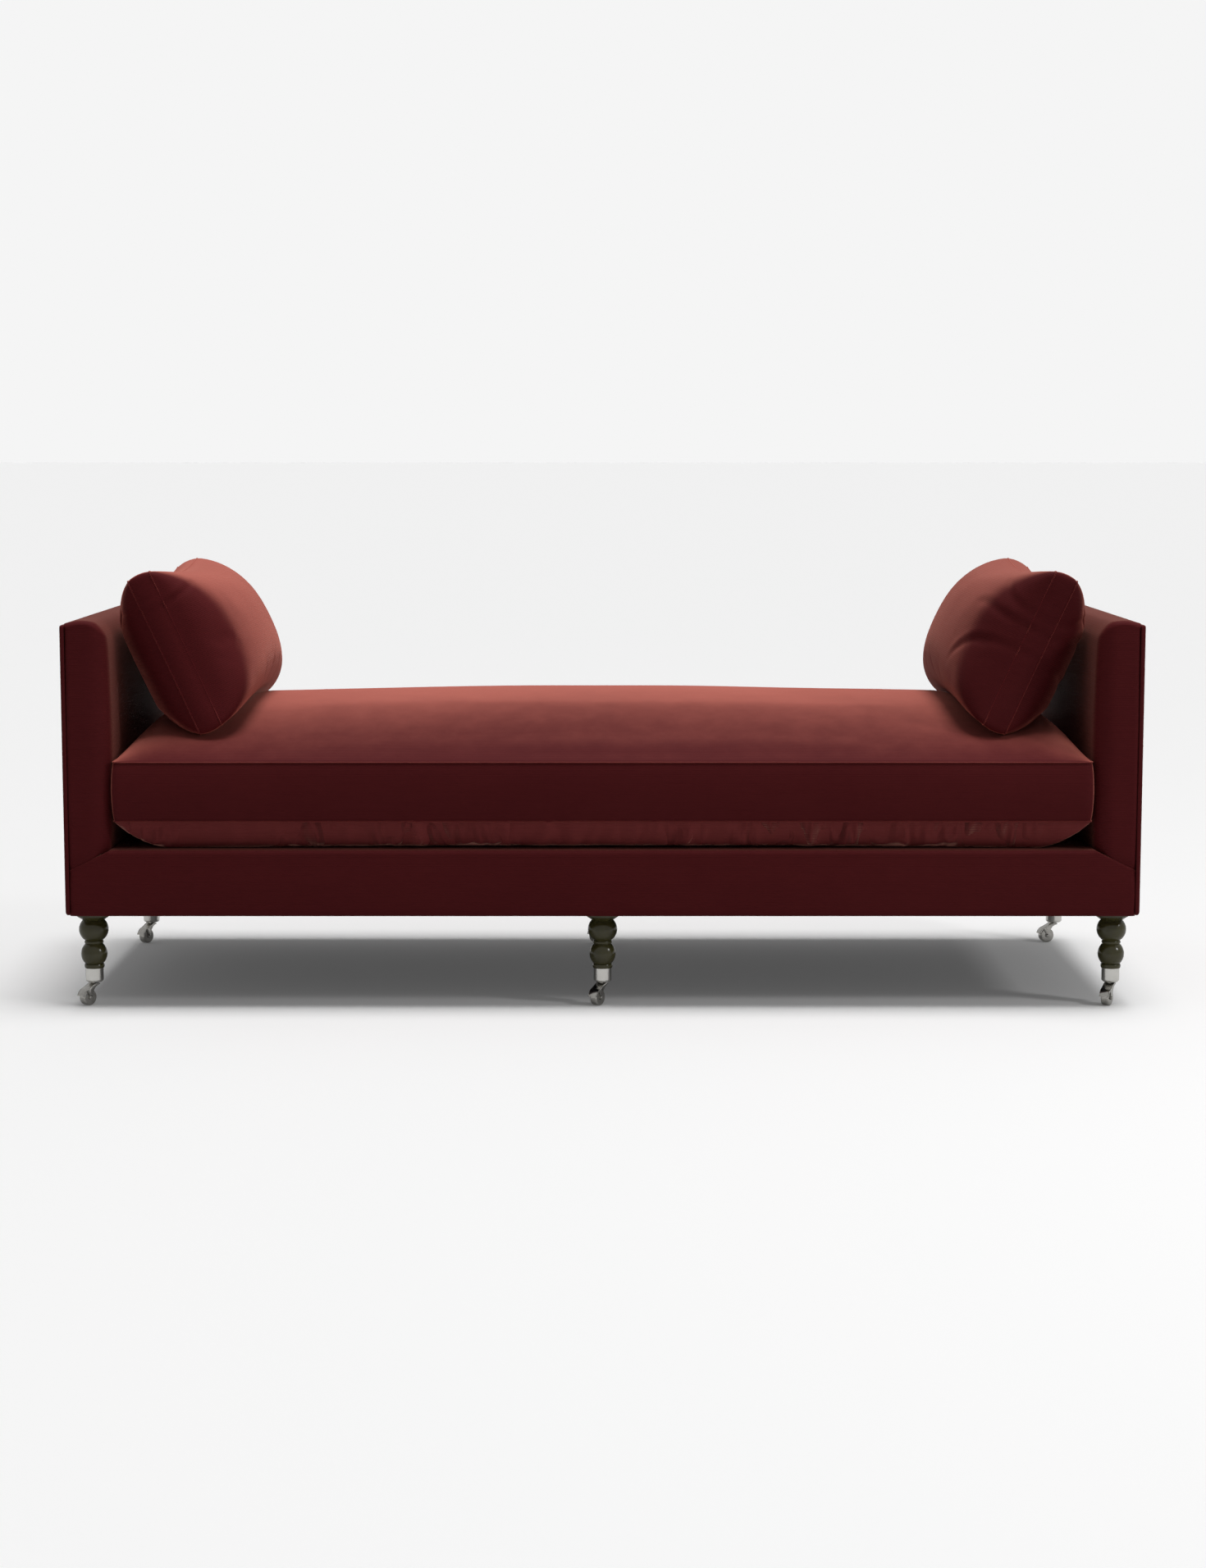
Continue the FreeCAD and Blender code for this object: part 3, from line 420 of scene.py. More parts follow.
def base_skin(name, node, face):
    """The strip of velvet over one rail, from under the base to the deck. face is -1 in front."""
    rows = []
    for step in spread(0, 1, 26):
        row = []
        for x in base_columns():
            height = seam_height(x) - BASE_Z
            between_arms = abs(x) <= ARM_IN_X
            roll = EDGE_ROLL if between_arms else SEAM_DIP
            tuck = min(step * 8, 1)
            z = BASE_Z + (height - roll) * step
            puff = FACE_PUFF * math.sin(math.pi * min(step * 1.05, 1))
            puff += 0.5 * MM * noise.noise(Vector((x * 7, z * 9, face * 3)))
            seam_gap = SEAM_DIP * max(0, 1 - (COVER_X - abs(x)) / (3 * MM)) + TUCK_IN * (abs(x) > COVER_X)
            under = 3 * MM * (1 - math.sqrt(1 - (1 - tuck) ** 2))
            out = FRONT_Y - FACE_PUFF + puff - seam_gap - under
            row.append((x, face * out, z - 1 * MM * (1 - step) ** 4))
        rows.append(row)
    for lift, inward in quarter(8)[1:]:
        row = []
        for x in base_columns():
            roll = EDGE_ROLL if abs(x) <= ARM_IN_X else SEAM_DIP
            tuck = TUCK_IN * (abs(x) > COVER_X)
            out = FRONT_Y - FACE_PUFF - inward * roll - tuck
            row.append((x, face * out, seam_height(x) - roll + lift * roll))
        rows.append(row)
    brow = rows[-1]
    for back in spread(0, 1, 6)[1:]:
        reach = deck_low.y + FRONT_Y + 6 * MM
        rows.append([(x, y - face * (back * reach if abs(x) <= ARM_IN_X else 0), z) for x, y, z in brow])
    under = [(x, face * (FRONT_Y - 26 * MM), BASE_Z) for x in base_columns()]
    rows.insert(0, under)
    piece = skin(name, rows, fixed_velvet, "frame", swap=face > 0)
    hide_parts(node)
    return piece


base_front = base_skin("base_front_velvet", "base_cover_front", -1)
base_back = base_skin("base_back_velvet", "base_cover_rear", 1)
print("base strips have", len(base_front.data.polygons), "faces each")

# %% [markdown]
# ## The arms
# An arm's cover goes up the front, round a soft upright corner, along the inside, and over a
# padded top whose crest lies nearer the outside. Seen from above, the skin follows one path, and
# at each point of that path it climbs the wall, rolls over and crosses the top to the outer edge.

# %% Cover the arms
CORNER_ROUND = 38 * MM
INNER_ROLL = 30 * MM
FRONT_ROLL = 11 * MM
CREST_FROM_END = 40 * MM


def crest_height(x):
    """Height of the arm's padded top at a distance from the daybed's middle."""
    from_crest = (x - (END_X - CREST_FROM_END))
    outward = max(from_crest, 0) / CREST_FROM_END
    inward = max(-from_crest, 0) / (END_X - CREST_FROM_END - ARM_IN_X)
    return CREST_Z - (CREST_Z - ARM_Z) * outward ** 1.6 - 12 * MM * inward ** 2


def arm_path():
    """Points round the arm on plan: (x, y, outward x, outward y, how much it is an inside face)."""
    path = []
    for x in [COVER_X + 0.4 * MM] + spread(COVER_X, ARM_IN_X + CORNER_ROUND, 9):
        path.append((x, -FRONT_Y, 0, -1, 0))
    centre_x = ARM_IN_X + CORNER_ROUND
    centre_y = FRONT_Y - CORNER_ROUND
    for turn in spread(0, math.pi / 2, 12)[1:]:
        out_x, out_y = -math.sin(turn), -math.cos(turn)
        path.append((centre_x + CORNER_ROUND * out_x, -centre_y + CORNER_ROUND * out_y, out_x, out_y,
                     math.sin(turn) ** 2))
    for y in spread(-centre_y, 0, 32)[1:]:
        path.append((ARM_IN_X, y, -1, 0, 1))
    mirror = [(x, -y, out_x, -out_y, inside) for x, y, out_x, out_y, inside in reversed(path[:-1])]
    return path + mirror


def arm_column(x, y, out_x, out_y, inside):
    """One upright line of the arm's skin, from its foot to the outer edge of the top."""
    roll = FRONT_ROLL + (INNER_ROLL - FRONT_ROLL) * inside
    foot = seam_height(x) if inside < 0.5 else RAIL_Z - 6 * MM
    edge = max(0, 1 - (COVER_X - x) / (3 * MM))
    top = crest_height(x)
    column = []
    for step in spread(0, 1, 40):
        z = foot + (top - roll - foot) * step
        dip = SEAM_DIP * max(0, 1 - (z - foot) / (3 * MM))
        dip = dip + SEAM_DIP * min(edge, 1) + TUCK_IN * (x > COVER_X)
        puff = 1.5 * MM * math.sin(math.pi * step) + 4 * MM * inside * math.sin(math.pi * step) ** 0.5
        puff += 0.6 * MM * noise.noise(Vector((x * 8, y * 8, z * 8)))
        out = puff - dip - 1.5 * MM
        column.append((x + out_x * out, y + out_y * out, z))
    for lift, inward in quarter(9)[1:]:
        out = -1.5 * MM - roll * inward
        here = x + out_x * out
        crown = crest_height(here) - top
        there = y + out_y * out - edge * out_y * 2 * MM
        column.append((here, there, top - roll + roll * lift + crown * lift))
    start_x, start_y, start_z = column[-1]
    end_y = start_y * (1 - 0.05 * (1 - inside))
    for share in spread(0, 1, 12)[1:]:
        here = start_x + (COVER_X - start_x) * share
        z = crest_height(here) + (start_z - crest_height(start_x)) * (1 - share)
        column.append((here, start_y + (end_y - start_y) * share, z - SEAM_DIP * (share == 1)))
    return column


def arm_skin(hand, side):
    columns = [arm_column(*point) for point in arm_path()]
    rows = [[(side * x, y, z) for x, y, z in row] for row in zip(*columns)]
    piece = skin(f"arm_velvet_{hand}", rows, fixed_velvet, "frame", swap=side > 0)
    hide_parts(f"arm_cover_{hand}")
    return piece


for hand, side in (("left", -1), ("right", 1)):
    arm = arm_skin(hand, side)
    print(arm.name, "has", len(arm.data.polygons), "faces")

# %% [markdown]
# ## The outside panels
# The outside of each arm is a separate padded board, pulled on last. Its edge shows from the
# front as a narrow strip with a fine groove beside it. It is a thin slab whose rim is rolled and
# whose middle swells by a millimetre or two.

# %% Make the outside panels
PANEL_ROLL = 4 * MM
PANEL_ROUND = {"foot": 11 * MM, "head": 5 * MM}


def panel_outline(inset):
    """Points round the panel's rim, drawn in by a distance, with small rounded corners."""
    low_y, high_y = -FRONT_Y + inset, FRONT_Y - inset
    low_z, high_z = BASE_Z + inset, ARM_Z - inset
    points = []
    corners = [(low_y, low_z, 1, 1, "foot", math.pi), (high_y, low_z, -1, 1, "foot", 1.5 * math.pi),
               (high_y, high_z, -1, -1, "head", 0), (low_y, high_z, 1, -1, "head", 0.5 * math.pi)]
    for index, (y, z, in_y, in_z, end, start) in enumerate(corners):
        radius = max(PANEL_ROUND[end] - inset, 0.5 * MM)
        for turn in spread(start, start + math.pi / 2, 7):
            points.append((y + in_y * radius + radius * math.cos(turn),
                           z + in_z * radius + radius * math.sin(turn)))
        after = corners[(index + 1) % 4]
        next_radius = max(PANEL_ROUND[after[4]] - inset, 0.5 * MM)
        begin = points[-1]
        turn = after[5]
        end_point = (after[0] + after[2] * next_radius + next_radius * math.cos(turn),
                     after[1] + after[3] * next_radius + next_radius * math.sin(turn))
        for share in spread(0, 1, 24)[1:-1]:
            points.append((begin[0] + (end_point[0] - begin[0]) * share,
                           begin[1] + (end_point[1] - begin[1]) * share))
    return points


def panel_rings(side):
    """Closed rings round the panel, from the frame outwards and then in towards the middle."""
    thick = END_X - COVER_X
    steps = [(0.6 * MM, 0), (0, 1 * MM)]
    steps += [(PANEL_ROLL * inward, thick - PANEL_ROLL + PANEL_ROLL * lift) for lift, inward in quarter(7)]
    rings = [[(side * (COVER_X + reach), y, z) for y, z in panel_outline(inset)] for inset, reach in steps]
    middle_z = (BASE_Z + ARM_Z) / 2
    rim = rings[-1]
    for share in spread(0, 1, 18)[1:]:
        puff = 1.2 * MM * math.sin(share * math.pi / 2)
        rings.append([(x + side * puff, y * (1 - share), z + (middle_z - z) * share) for x, y, z in rim])
    return rings


for hand, side in (("left", -1), ("right", 1)):
    panel = skin(f"outside_panel_{hand}", panel_rings(side), fixed_velvet, "frame",
                 loop=True, swap=side < 0)
    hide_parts(f"side_panel_{hand}")
    print(panel.name, "is", round(panel.dimensions.y, 3), "m deep")

# %% [markdown]
# ## Boxed cushions
# A boxed cushion is two panels joined by a strip, the boxing, with a sewn seam along each edge.
# The filling pushes the panels into crowns, and the edges pull in a little between the corners.
# One function makes the seat and the pillows: it lays a grid over each panel, rounds its corners,
# lifts it by the crown, and sews the strip between the two rims.

# %% Panels of a cushion
def ease(share):
    """Draw the lines of a panel's grid closer together towards its edges."""
    return math.copysign(1 - (1 - abs(share)) ** 1.3, share)


def panel_plan(u, v, half, corner, pull):
    """Where a point of a panel lies on plan. Corners are rounded and the edges pull in."""
    half_x, half_y = half
    x, y = u * half_x, v * half_y
    over_x = max(abs(x) - (half_x - corner), 0)
    over_y = max(abs(y) - (half_y - corner), 0)
    if over_x > 0 and over_y > 0:
        shrink = max(over_x, over_y) / math.hypot(over_x, over_y)
        x = math.copysign(half_x - corner + over_x * shrink, x)
        y = math.copysign(half_y - corner + over_y * shrink, y)
    return x - u * pull[0] * (1 - v * v), y - v * pull[1] * (1 - u * u)


print("an eased grid's quarter line is at", round(ease(0.5), 2))


# %% Boxed cushion maker
def boxing(points, loops, half, corner, pull, bulge, strips):
    """Sew bulging belts of faces between the lower rim and the upper one."""
    belts = [loops[-1]]
    for strip in range(1, strips):
        share = strip / strips
        belt = []
        for low, high in zip(loops[-1], loops[1]):
            start, end = Vector(points[low]), Vector(points[high])
            edge_x = max(abs(start.x) - (half[0] - corner - pull[0]), 0)
            edge_y = max(abs(start.y) - (half[1] - corner - pull[1]), 0)
            out = Vector((math.copysign(edge_x, start.x), math.copysign(edge_y, start.y), 0))
            out = out.normalized() if out.length > 0 else Vector((0, 0, 0))
            belt.append(len(points))
            points.append(tuple(start.lerp(end, share) + out * bulge * math.sin(math.pi * share) ** 0.7))
        belts.append(belt)
    belts.append(loops[1])
    count = len(loops[1])
    return [[lower[index], lower[(index + 1) % count], upper[(index + 1) % count], upper[index]]
            for lower, upper in zip(belts, belts[1:]) for index in range(count)]


def boxed(name, half, seams, crown, corner, pull, bulge, cells, strips):
    """A closed boxed cushion lying flat. crown(u, v, side) gives a panel's height over its seam."""
    columns, lines = cells
    points, faces, where = [], [], {}
    for side, seam in ((-1, seams[0]), (1, seams[1])):
        for i in range(columns + 1):
            for j in range(lines + 1):
                u, v = ease(2 * i / columns - 1), ease(2 * j / lines - 1)
                x, y = panel_plan(u, v, half, corner, pull)
                where[side, i, j] = len(points)
                points.append((x, y, seam + side * crown(u, v, side)))
        for i in range(columns):
            for j in range(lines):
                ring = ((i, j), (i + 1, j), (i + 1, j + 1), (i, j + 1))
                quad = [where[side, column, line] for column, line in ring]
                faces.append(quad if side > 0 else quad[::-1])
    rim = [(i, 0) for i in range(columns)] + [(columns, j) for j in range(lines)]
    rim += [(i, lines) for i in range(columns, 0, -1)] + [(0, j) for j in range(lines, 0, -1)]
    loops = {side: [where[side, i, j] for i, j in rim] for side in (-1, 1)}
    faces += boxing(points, loops, half, corner, pull, bulge, strips)
    mesh = bpy.data.meshes.new(name)
    mesh.from_pydata(points, [], faces)
    mesh.update()
    return bpy.data.objects.new(name, mesh), loops


print("the cushion maker is ready")

# %% [markdown]
# ## Seam edges
# Where the boxing meets a panel, the turned-in seam makes a thin rolled edge. A fine tube along
# the rim stands for it, since a seam this narrow would be lost in the stuffing. Its velvet is a
# little lighter than the panels', a painted highlight along the edge.

# %% Seam edge
SEAM_SIDES = 6


def seam_tube(name, points, radius, body, material, normal):
    """A thin rolled edge along a closed seam. Its cross-section turns round the seam's direction."""
    rings = []
    count = len(points)
    for index in range(count):
        ahead = (points[(index + 1) % count] - points[index - 1]).normalized()
        across = ahead.cross(normal).normalized()
        rise = across.cross(ahead)
        rings.append([points[index] + rise * radius * math.cos(step * math.pi / 3)
                      + across * radius * math.sin(step * math.pi / 3) for step in range(SEAM_SIDES)])
    rings.append(rings[0])
    return skin(name, rings, material, body, loop=True)


print("a seam edge has", SEAM_SIDES, "sides")

# %% [markdown]
# ## Stuffing
# A sewn case only looks stuffed once something presses it out from inside. We let the cloth
# solver blow the case up for a moment without gravity, then stop every point that has moved
# further than real filling could push it. The case is sewn a little small, so it swells to size.
# Sculpting the swell by hand would work as well, but it would not find the pull of the seams.

# %% Stuff a case with the cloth solver
MOMENTS = 20
CASE_CLOTH = {"quality": 5, "mass": 0.25, "tension_stiffness": 14, "compression_stiffness": 9,
              "shear_stiffness": 4, "bending_stiffness": 0.35, "use_pressure": True}


def stuff(piece, pressure, cap, still=()):
    """Blow up a closed case. Points move at most cap metres; the still ones stay put."""
    cloth = piece.modifiers.new("stuffing", "CLOTH")
    for setting, value in CASE_CLOTH.items():
        setattr(cloth.settings, setting, value)
    cloth.settings.uniform_pressure_force = pressure
    cloth.settings.effector_weights.gravity = 0
    if still:
        held = piece.vertex_groups.new(name="still")
        held.add(list(still), 1.0, "REPLACE")
        cloth.settings.vertex_group_mass = "still"
    scene = bpy.context.scene
    cloth.point_cache.frame_start = 1
    cloth.point_cache.frame_end = MOMENTS
    for moment in range(1, MOMENTS + 1):
        scene.frame_set(moment)
    blown = piece.evaluated_get(bpy.context.evaluated_depsgraph_get()).to_mesh()
    moved = 0.0
    for vertex, target in zip(piece.data.vertices, [point.co.copy() for point in blown.vertices]):
        step = target - vertex.co
        if step.length > cap:
            step *= cap / step.length
        moved = max(moved, step.length)
        vertex.co += step
    piece.modifiers.remove(cloth)
    scene.frame_set(1)
    piece.data.update()
    return moved


def refine(piece):
    """Split every face in four, rounding the shape as it goes."""
    finer = piece.modifiers.new("finer", "SUBSURF")
    finer.levels = finer.render_levels = 1
    mesh = bpy.data.meshes.new_from_object(piece.evaluated_get(bpy.context.evaluated_depsgraph_get()))
    piece.modifiers.remove(finer)
    piece.data = mesh


print("stuffing", "will run")

# %% [markdown]
# ## The seat cushion
# One thick cushion fills the space between the arms: a foam core wrapped in down, so it is crowned
# along its middle and nearly flat near the front seam. Under each pillow it is pressed down. Its
# lower panel curves in to the deck, and there the slack velvet falls in short upright folds.

# %% Shape of the seat
SEAM_LOW_Z = 0.3765
SEAM_HIGH_Z = 0.494
SEAT_HALF = (seat_high.x - 3 * MM, seat_high.y - 3 * MM)
SEAT_CROWN = 0.107
CROWN_FALL = 0.10               # the crown is lower by this share towards its ends
BELLY_DROP = SEAM_LOW_Z - seat_low.z


def smooth_step(value, low, high):
    share = min(max((value - low) / (high - low), 0), 1)
    return share * share * (3 - 2 * share)


def soft_least(first, second, blend):
    """The lower of two heights, with the corner between them rounded off."""
    near = max(blend - abs(first - second), 0) / blend
    return min(first, second) - near * near * blend / 4


def seat_crown(u, v, side):
    x, y = u * SEAT_HALF[0], v * SEAT_HALF[1]
    if side < 0:
        from_end = min((1 - abs(u)) * SEAT_HALF[0] / 0.100, 1)
        from_face = min((1 - abs(v)) * SEAT_HALF[1] / 0.022, 1)
        ends, faces = (BELLY_DROP * math.sin(share * math.pi / 2) ** 0.75
                       for share in (from_end, from_face))
        return max(soft_least(ends, faces, 8 * MM), 0)
    dome = (1 - abs(v) ** 2.2) ** 0.75 * (1 - abs(u) ** 13) ** 0.6
    dome *= 1 - CROWN_FALL * smooth_step(abs(u), 0.12, 0.80)
    ripple = 1.6 * MM * noise.noise(Vector((x * 3.1, y * 4.3, 0.5))) * smooth_step(1 - abs(v), 0, 0.3)
    return SEAT_CROWN * dome + ripple


print("the seat's crown rises to", round(SEAM_HIGH_Z + SEAT_CROWN, 3))

# %% Folds under the seat
FOLD_COUNT = 46
FOLD_SEED = 12


class Folds:
    """Slack cloth gathers in short ridges. Each has a place, a slant, a width and a height."""

    def __init__(self, length, count, seed):
        draw = random.Random(seed)
        self.ridges = []
        for _ in range(count):
            middle = draw.gauss(0.0, length * 0.30)
            self.ridges.append((middle, draw.uniform(-0.5, 0.5), draw.uniform(6, 12) * MM,
                                draw.uniform(2.5, 6.5) * MM))

    def height(self, x, depth):
        total = 0.0
        for middle, slant, width, tall in self.ridges:
            off = (x - middle - slant * depth) / width
            if abs(off) < 3:
                total += tall * math.exp(-off * off)
        return total


folds = Folds(seat_high.x, FOLD_COUNT, FOLD_SEED)
print("the slack gathers in", len(folds.ridges), "ridges")

# %% Make the seat cushion
seat, seat_loops = boxed("seat_velvet", SEAT_HALF, (SEAM_LOW_Z, SEAM_HIGH_Z), seat_crown,
                         corner=12 * MM, pull=(1 * MM, 1 * MM), bulge=5 * MM, cells=(160, 56), strips=7)
dress(seat, seat_velvet, "seat")
seat_seams = set(seat_loops[-1]) | set(seat_loops[1])
swelled = stuff(seat, pressure=3.0, cap=7 * MM, still=seat_seams)
seam_lines = {side: [seat.data.vertices[index].co.copy() for index in seat_loops[side]] for side in (-1, 1)}
refine(seat)
for vertex in seat.data.vertices:
    x, y, z = vertex.co
    if z < SEAM_LOW_Z - 1 * MM:
        depth = (SEAM_LOW_Z - z) / BELLY_DROP
        rise = folds.height(x, depth * 0.05) * math.sin(min(depth, 1) * math.pi * 0.72) ** 0.7
        toward = smooth_step(abs(y), 0.28, 0.34) * math.copysign(1, y)
        vertex.co.y += toward * rise * (1 - 0.25 * depth)
    vertex.co.z = max(vertex.co.z, seat_low.z + 0.5 * MM)
# The lower panel takes the lighter copy of the velvet, painted light.
seat.data.materials.clear()
for cloth in (seat_velvet, belly_velvet_lightened):
    seat.data.materials.append(cloth)
for polygon in seat.data.polygons:
    polygon.use_smooth = True
    polygon.material_index = int(polygon.center.z < SEAM_LOW_Z - 1 * MM)
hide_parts("seat_cushion")
for label, side in (("lower", -1), ("upper", 1)):
    tube = seam_tube(f"seat_seam_{label}", seam_lines[side], 1.4 * MM, "seat", seam_velvet_highlighted,
                     Vector((0, 0, 1)))
print("seat cushion swelled by", round(swelled, 4), "and is", [round(part, 3) for part in seat.dimensions])

# %% [markdown]
# ## The pillows
# Each pillow is a small plump boxed cushion, overfilled with down. It stands on the seat and leans
# on the arm, so its back is pressed flatter than its front, and its corners poke out past edges
# that the filling pulls in. It is made lying flat, because a crown is simplest to write that way,
# and turned afterwards. A few soft creases on its ends come from handling.

# %% Shape of a pillow
PILLOW_LEAN = math.radians(24.6)
PILLOW_HALF = (0.346, 0.170)
PILLOW_SEAMS = (-0.057, -0.010)
PILLOW_CROWN = {1: 0.121, -1: 0.068}
PILLOW_CENTRE = Vector((0.822, 0, 0.719))


def pillow_crown(u, v, side):
    if side > 0 and v > 0:
        across = (1 - v ** 2.4) ** 0.6
    else:
        across = (1 - v ** 4) ** 0.45
    pucker = 1 + 0.02 * noise.noise(Vector((u * 3, v * 2, side)))
    full = 0.66 if side > 0 else 0.90
    along = full * (1 - abs(u) ** 14) ** 0.5 + (1 - full) * (1 - abs(u) ** 2.2)
    return PILLOW_CROWN[side] * across * along * pucker


print("a pillow is", 2 * PILLOW_HALF[0], "m long")

# %% Creases
CREASES = {
    "left": [(-0.325, 0.105, 0.040, 0.4, 6, 1.5)],
    "right": [(-0.285, 0.055, 0.060, 0.1, 9, 2.4), (-0.275, -0.030, 0.070, -0.5, 9, 2.6),
              (-0.300, 0.100, 0.045, 0.5, 7, 1.6)],
}


def crease(cushion, marks):
    """Press short soft creases into a case lying flat. A mark is a place, a half length, a direction,
    and a width and a depth in millimetres."""
    for vertex in cushion.data.vertices:
        x, y, z = vertex.co
        if abs(x) < 0.15:
            continue
        depth = 0.0
        for place_x, place_y, reach, turn, width, deep in marks:
            along = (x - place_x) * math.cos(turn) + (y - place_y) * math.sin(turn)
            off = (y - place_y) * math.cos(turn) - (x - place_x) * math.sin(turn)
            off += 0.12 * along * along / reach
            fade = math.exp(-(along / reach) ** 4)
            wide = width * MM
            ridge = math.exp(-(off / wide) ** 2) - 0.45 * math.exp(-((off - 1.7 * wide) / wide) ** 2)
            depth += deep * MM * fade * ridge
        vertex.co = vertex.co - vertex.normal * depth


print("creases:", {hand: len(marks) for hand, marks in CREASES.items()})

# %% [markdown]
# The right pillow gets a darker, less shiny copy of the velvet and the left one a lighter copy:
# painted shade and painted light, for light that falls from the right. Each gets its own velvet for that.

# %% Make the pillows
def pillow_turn(side):
    """Turn a flat case so that it leans on the arm at the given side."""
    forward = Vector((-side * math.cos(PILLOW_LEAN), 0, math.sin(PILLOW_LEAN)))
    upward = Vector((side * math.sin(PILLOW_LEAN), 0, math.cos(PILLOW_LEAN)))
    turn = Matrix((Vector((0, 1, 0)), upward, forward)).transposed().to_4x4()
    return Matrix.Translation(Vector((side * PILLOW_CENTRE.x, 0, PILLOW_CENTRE.z))) @ turn


pillows = []
# Lighter and darker copies of the velvet: painted light on the left pillow, painted shade on the right.
PILLOW_LIT_AND_SHADED = {
    "left": {"glow": 0.34, "shade": (1.08, 1.08, 1.08)},
    "right": {"glow": 0.17, "shade": (0.86, 0.84, 0.84), "sheen_paint": 0.68},
}


def make_pillow(hand, side):
    body = f"pillow_at_{hand}"
    cushion, loops = boxed(f"pillow_velvet_{hand}", PILLOW_HALF, PILLOW_SEAMS, pillow_crown,
                           corner=12 * MM, pull=(9 * MM, 22 * MM), bulge=4 * MM, cells=(84, 42), strips=5)
    turn = pillow_turn(side)
    upward = tuple(turn.to_3x3() @ Vector((0, 1, 0)))
    cloth = velvet(f"velvet of the {hand} pillow", upright=upward, flat=upward, **PILLOW_LIT_AND_SHADED[hand])
    dress(cushion, cloth, body)
    swell = stuff(cushion, pressure=3.5, cap=6 * MM, still=set(loops[-1]) | set(loops[1]))
    lines = {face: [turn @ cushion.data.vertices[index].co for index in loops[face]] for face in (-1, 1)}
    refine(cushion)
    crease(cushion, CREASES[hand])
    cushion.data.transform(turn)
    for vertex in cushion.data.vertices:
        reach = abs(vertex.co.x) - (ARM_IN_X - 6 * MM)
        if reach > 0 and vertex.co.z < CREST_Z - 18 * MM:
            vertex.co.x -= side * reach * 0.8
    if turn.determinant() < 0:
        cushion.data.flip_normals()
    cushion.data.polygons.foreach_set("use_smooth", [True] * len(cushion.data.polygons))
    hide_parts(f"{hand}_pillow")
    for label, face in (("back", -1), ("front", 1)):
        tube = seam_tube(f"pillow_seam_{hand}_{label}", lines[face], 1.2 * MM, body, seam_velvet_highlighted,
                         turn.to_3x3() @ Vector((0, 0, 1)))
    pillows.append(cushion)
    print(cushion.name, "swelled by", round(swell, 4), "and is",
          [round(part, 3) for part in cushion.dimensions])


for hand, side in (("left", -1), ("right", 1)):
    make_pillow(hand, side)

# %% [markdown]
# ## Settling the seat
# The pillows are heavy enough to dent the seat. From every point of the seat's top we look
# straight up: where a pillow is in the way, the point goes down to just below it. A few rounds of
# averaging then round the dent's rim, since filling gives way gradually.

# %% Press the pillows into the seat
PRESS_GAP = 1.2 * MM
ROUNDS = 14


def settle(cushion, weights):
    """Press a cushion down under the weights, and count the points that moved."""
    graph = bmesh.new()
    graph.from_mesh(cushion.data)
    trees = []
    for weight in weights:
        trees.append(BVHTree.FromPolygons([vertex.co for vertex in weight.data.vertices],
                                          [tuple(polygon.vertices) for polygon in weight.data.polygons]))
    limits = {}
    pressed = 0
    for vertex in graph.verts:
        if vertex.co.z <= SEAM_HIGH_Z + 2 * MM:
            continue
        start = Vector((vertex.co.x, vertex.co.y, SEAM_HIGH_Z - 0.02))
        for tree in trees:
            hit = tree.ray_cast(start, Vector((0, 0, 1)))[0]
            if hit is not None:
                limits[vertex.index] = hit.z - PRESS_GAP
                if vertex.co.z > limits[vertex.index]:
                    vertex.co.z = limits[vertex.index]
                    pressed += 1
    around = [vertex for vertex in graph.verts
              if vertex.co.z > SEAM_HIGH_Z + 8 * MM and abs(vertex.co.x) > 0.60]
    for _ in range(ROUNDS):
        heights = {}
        for vertex in around:
            near = [edge.other_vert(vertex).co.z for edge in vertex.link_edges]
            heights[vertex] = min(vertex.co.z, sum(near) / len(near), limits.get(vertex.index, 9))
        for vertex, height in heights.items():
            vertex.co.z = height
    graph.to_mesh(cushion.data)
    graph.free()
    return pressed


print(settle(seat, pillows), "points of the seat are under the pillows")

# %% [markdown]
# ## Paint, metal and timber
# The hard parts keep their shapes and only need finishes. The legs are turned wood under an
# olive-brown gloss paint. The castors' cups are bright nickel plate, while the parts that rub,
# the horns and the wheels, are duller. The hidden frame is plain timber.

# %% Paint and plating
def gloss_paint():
    paint = Recipe("olive brown paint")
    patch = paint.cloud(38, 4)
    tone = paint.between(patch, (0.056, 0.050, 0.0150), (0.090, 0.081, 0.0270))
    brushed = paint.emboss(paint.cloud(150, 2, (1, 1, 0.25)), 0.05 * MM)
    return paint.finish(Base_Color=tone, Roughness=paint.ramp(patch, 0, 1, 0.15, 0.24),
                        Normal=brushed, Specular_IOR_Level=0.45)


def nickel():
    metal = Recipe("nickel plate")
    tarnish = metal.cloud(55, 3)
    tone = metal.between(tarnish, (0.60, 0.59, 0.55), (0.78, 0.77, 0.74))
    fine = metal.emboss(metal.cloud(900, 2, (1, 1, 0.2)), 0.003 * MM)
    return metal.finish(Base_Color=tone, Roughness=metal.ramp(tarnish, 0, 1, 0.14, 0.24),
                        Normal=fine, Metallic=1.0)


def worn_nickel():
    metal = Recipe("worn nickel")
    scuff = metal.cloud(140, 4)
    tone = metal.between(scuff, (0.32, 0.31, 0.29), (0.60, 0.585, 0.55))
    return metal.finish(Base_Color=tone, Roughness=metal.ramp(scuff, 0, 1, 0.12, 0.24), Metallic=1.0,
                        Normal=metal.emboss(scuff, 0.01 * MM))


def zinc():
    metal = Recipe("zinc plate")
    spangle = metal.cloud(260, 3)
    tone = metal.between(spangle, (0.40, 0.41, 0.42), (0.62, 0.62, 0.63))
    return metal.finish(Base_Color=tone, Roughness=0.42, Metallic=1.0,
                        Normal=metal.emboss(spangle, 0.03 * MM))


plated = (nickel(), worn_nickel(), zinc())
print("plated finishes:", [metal.name for metal in plated])


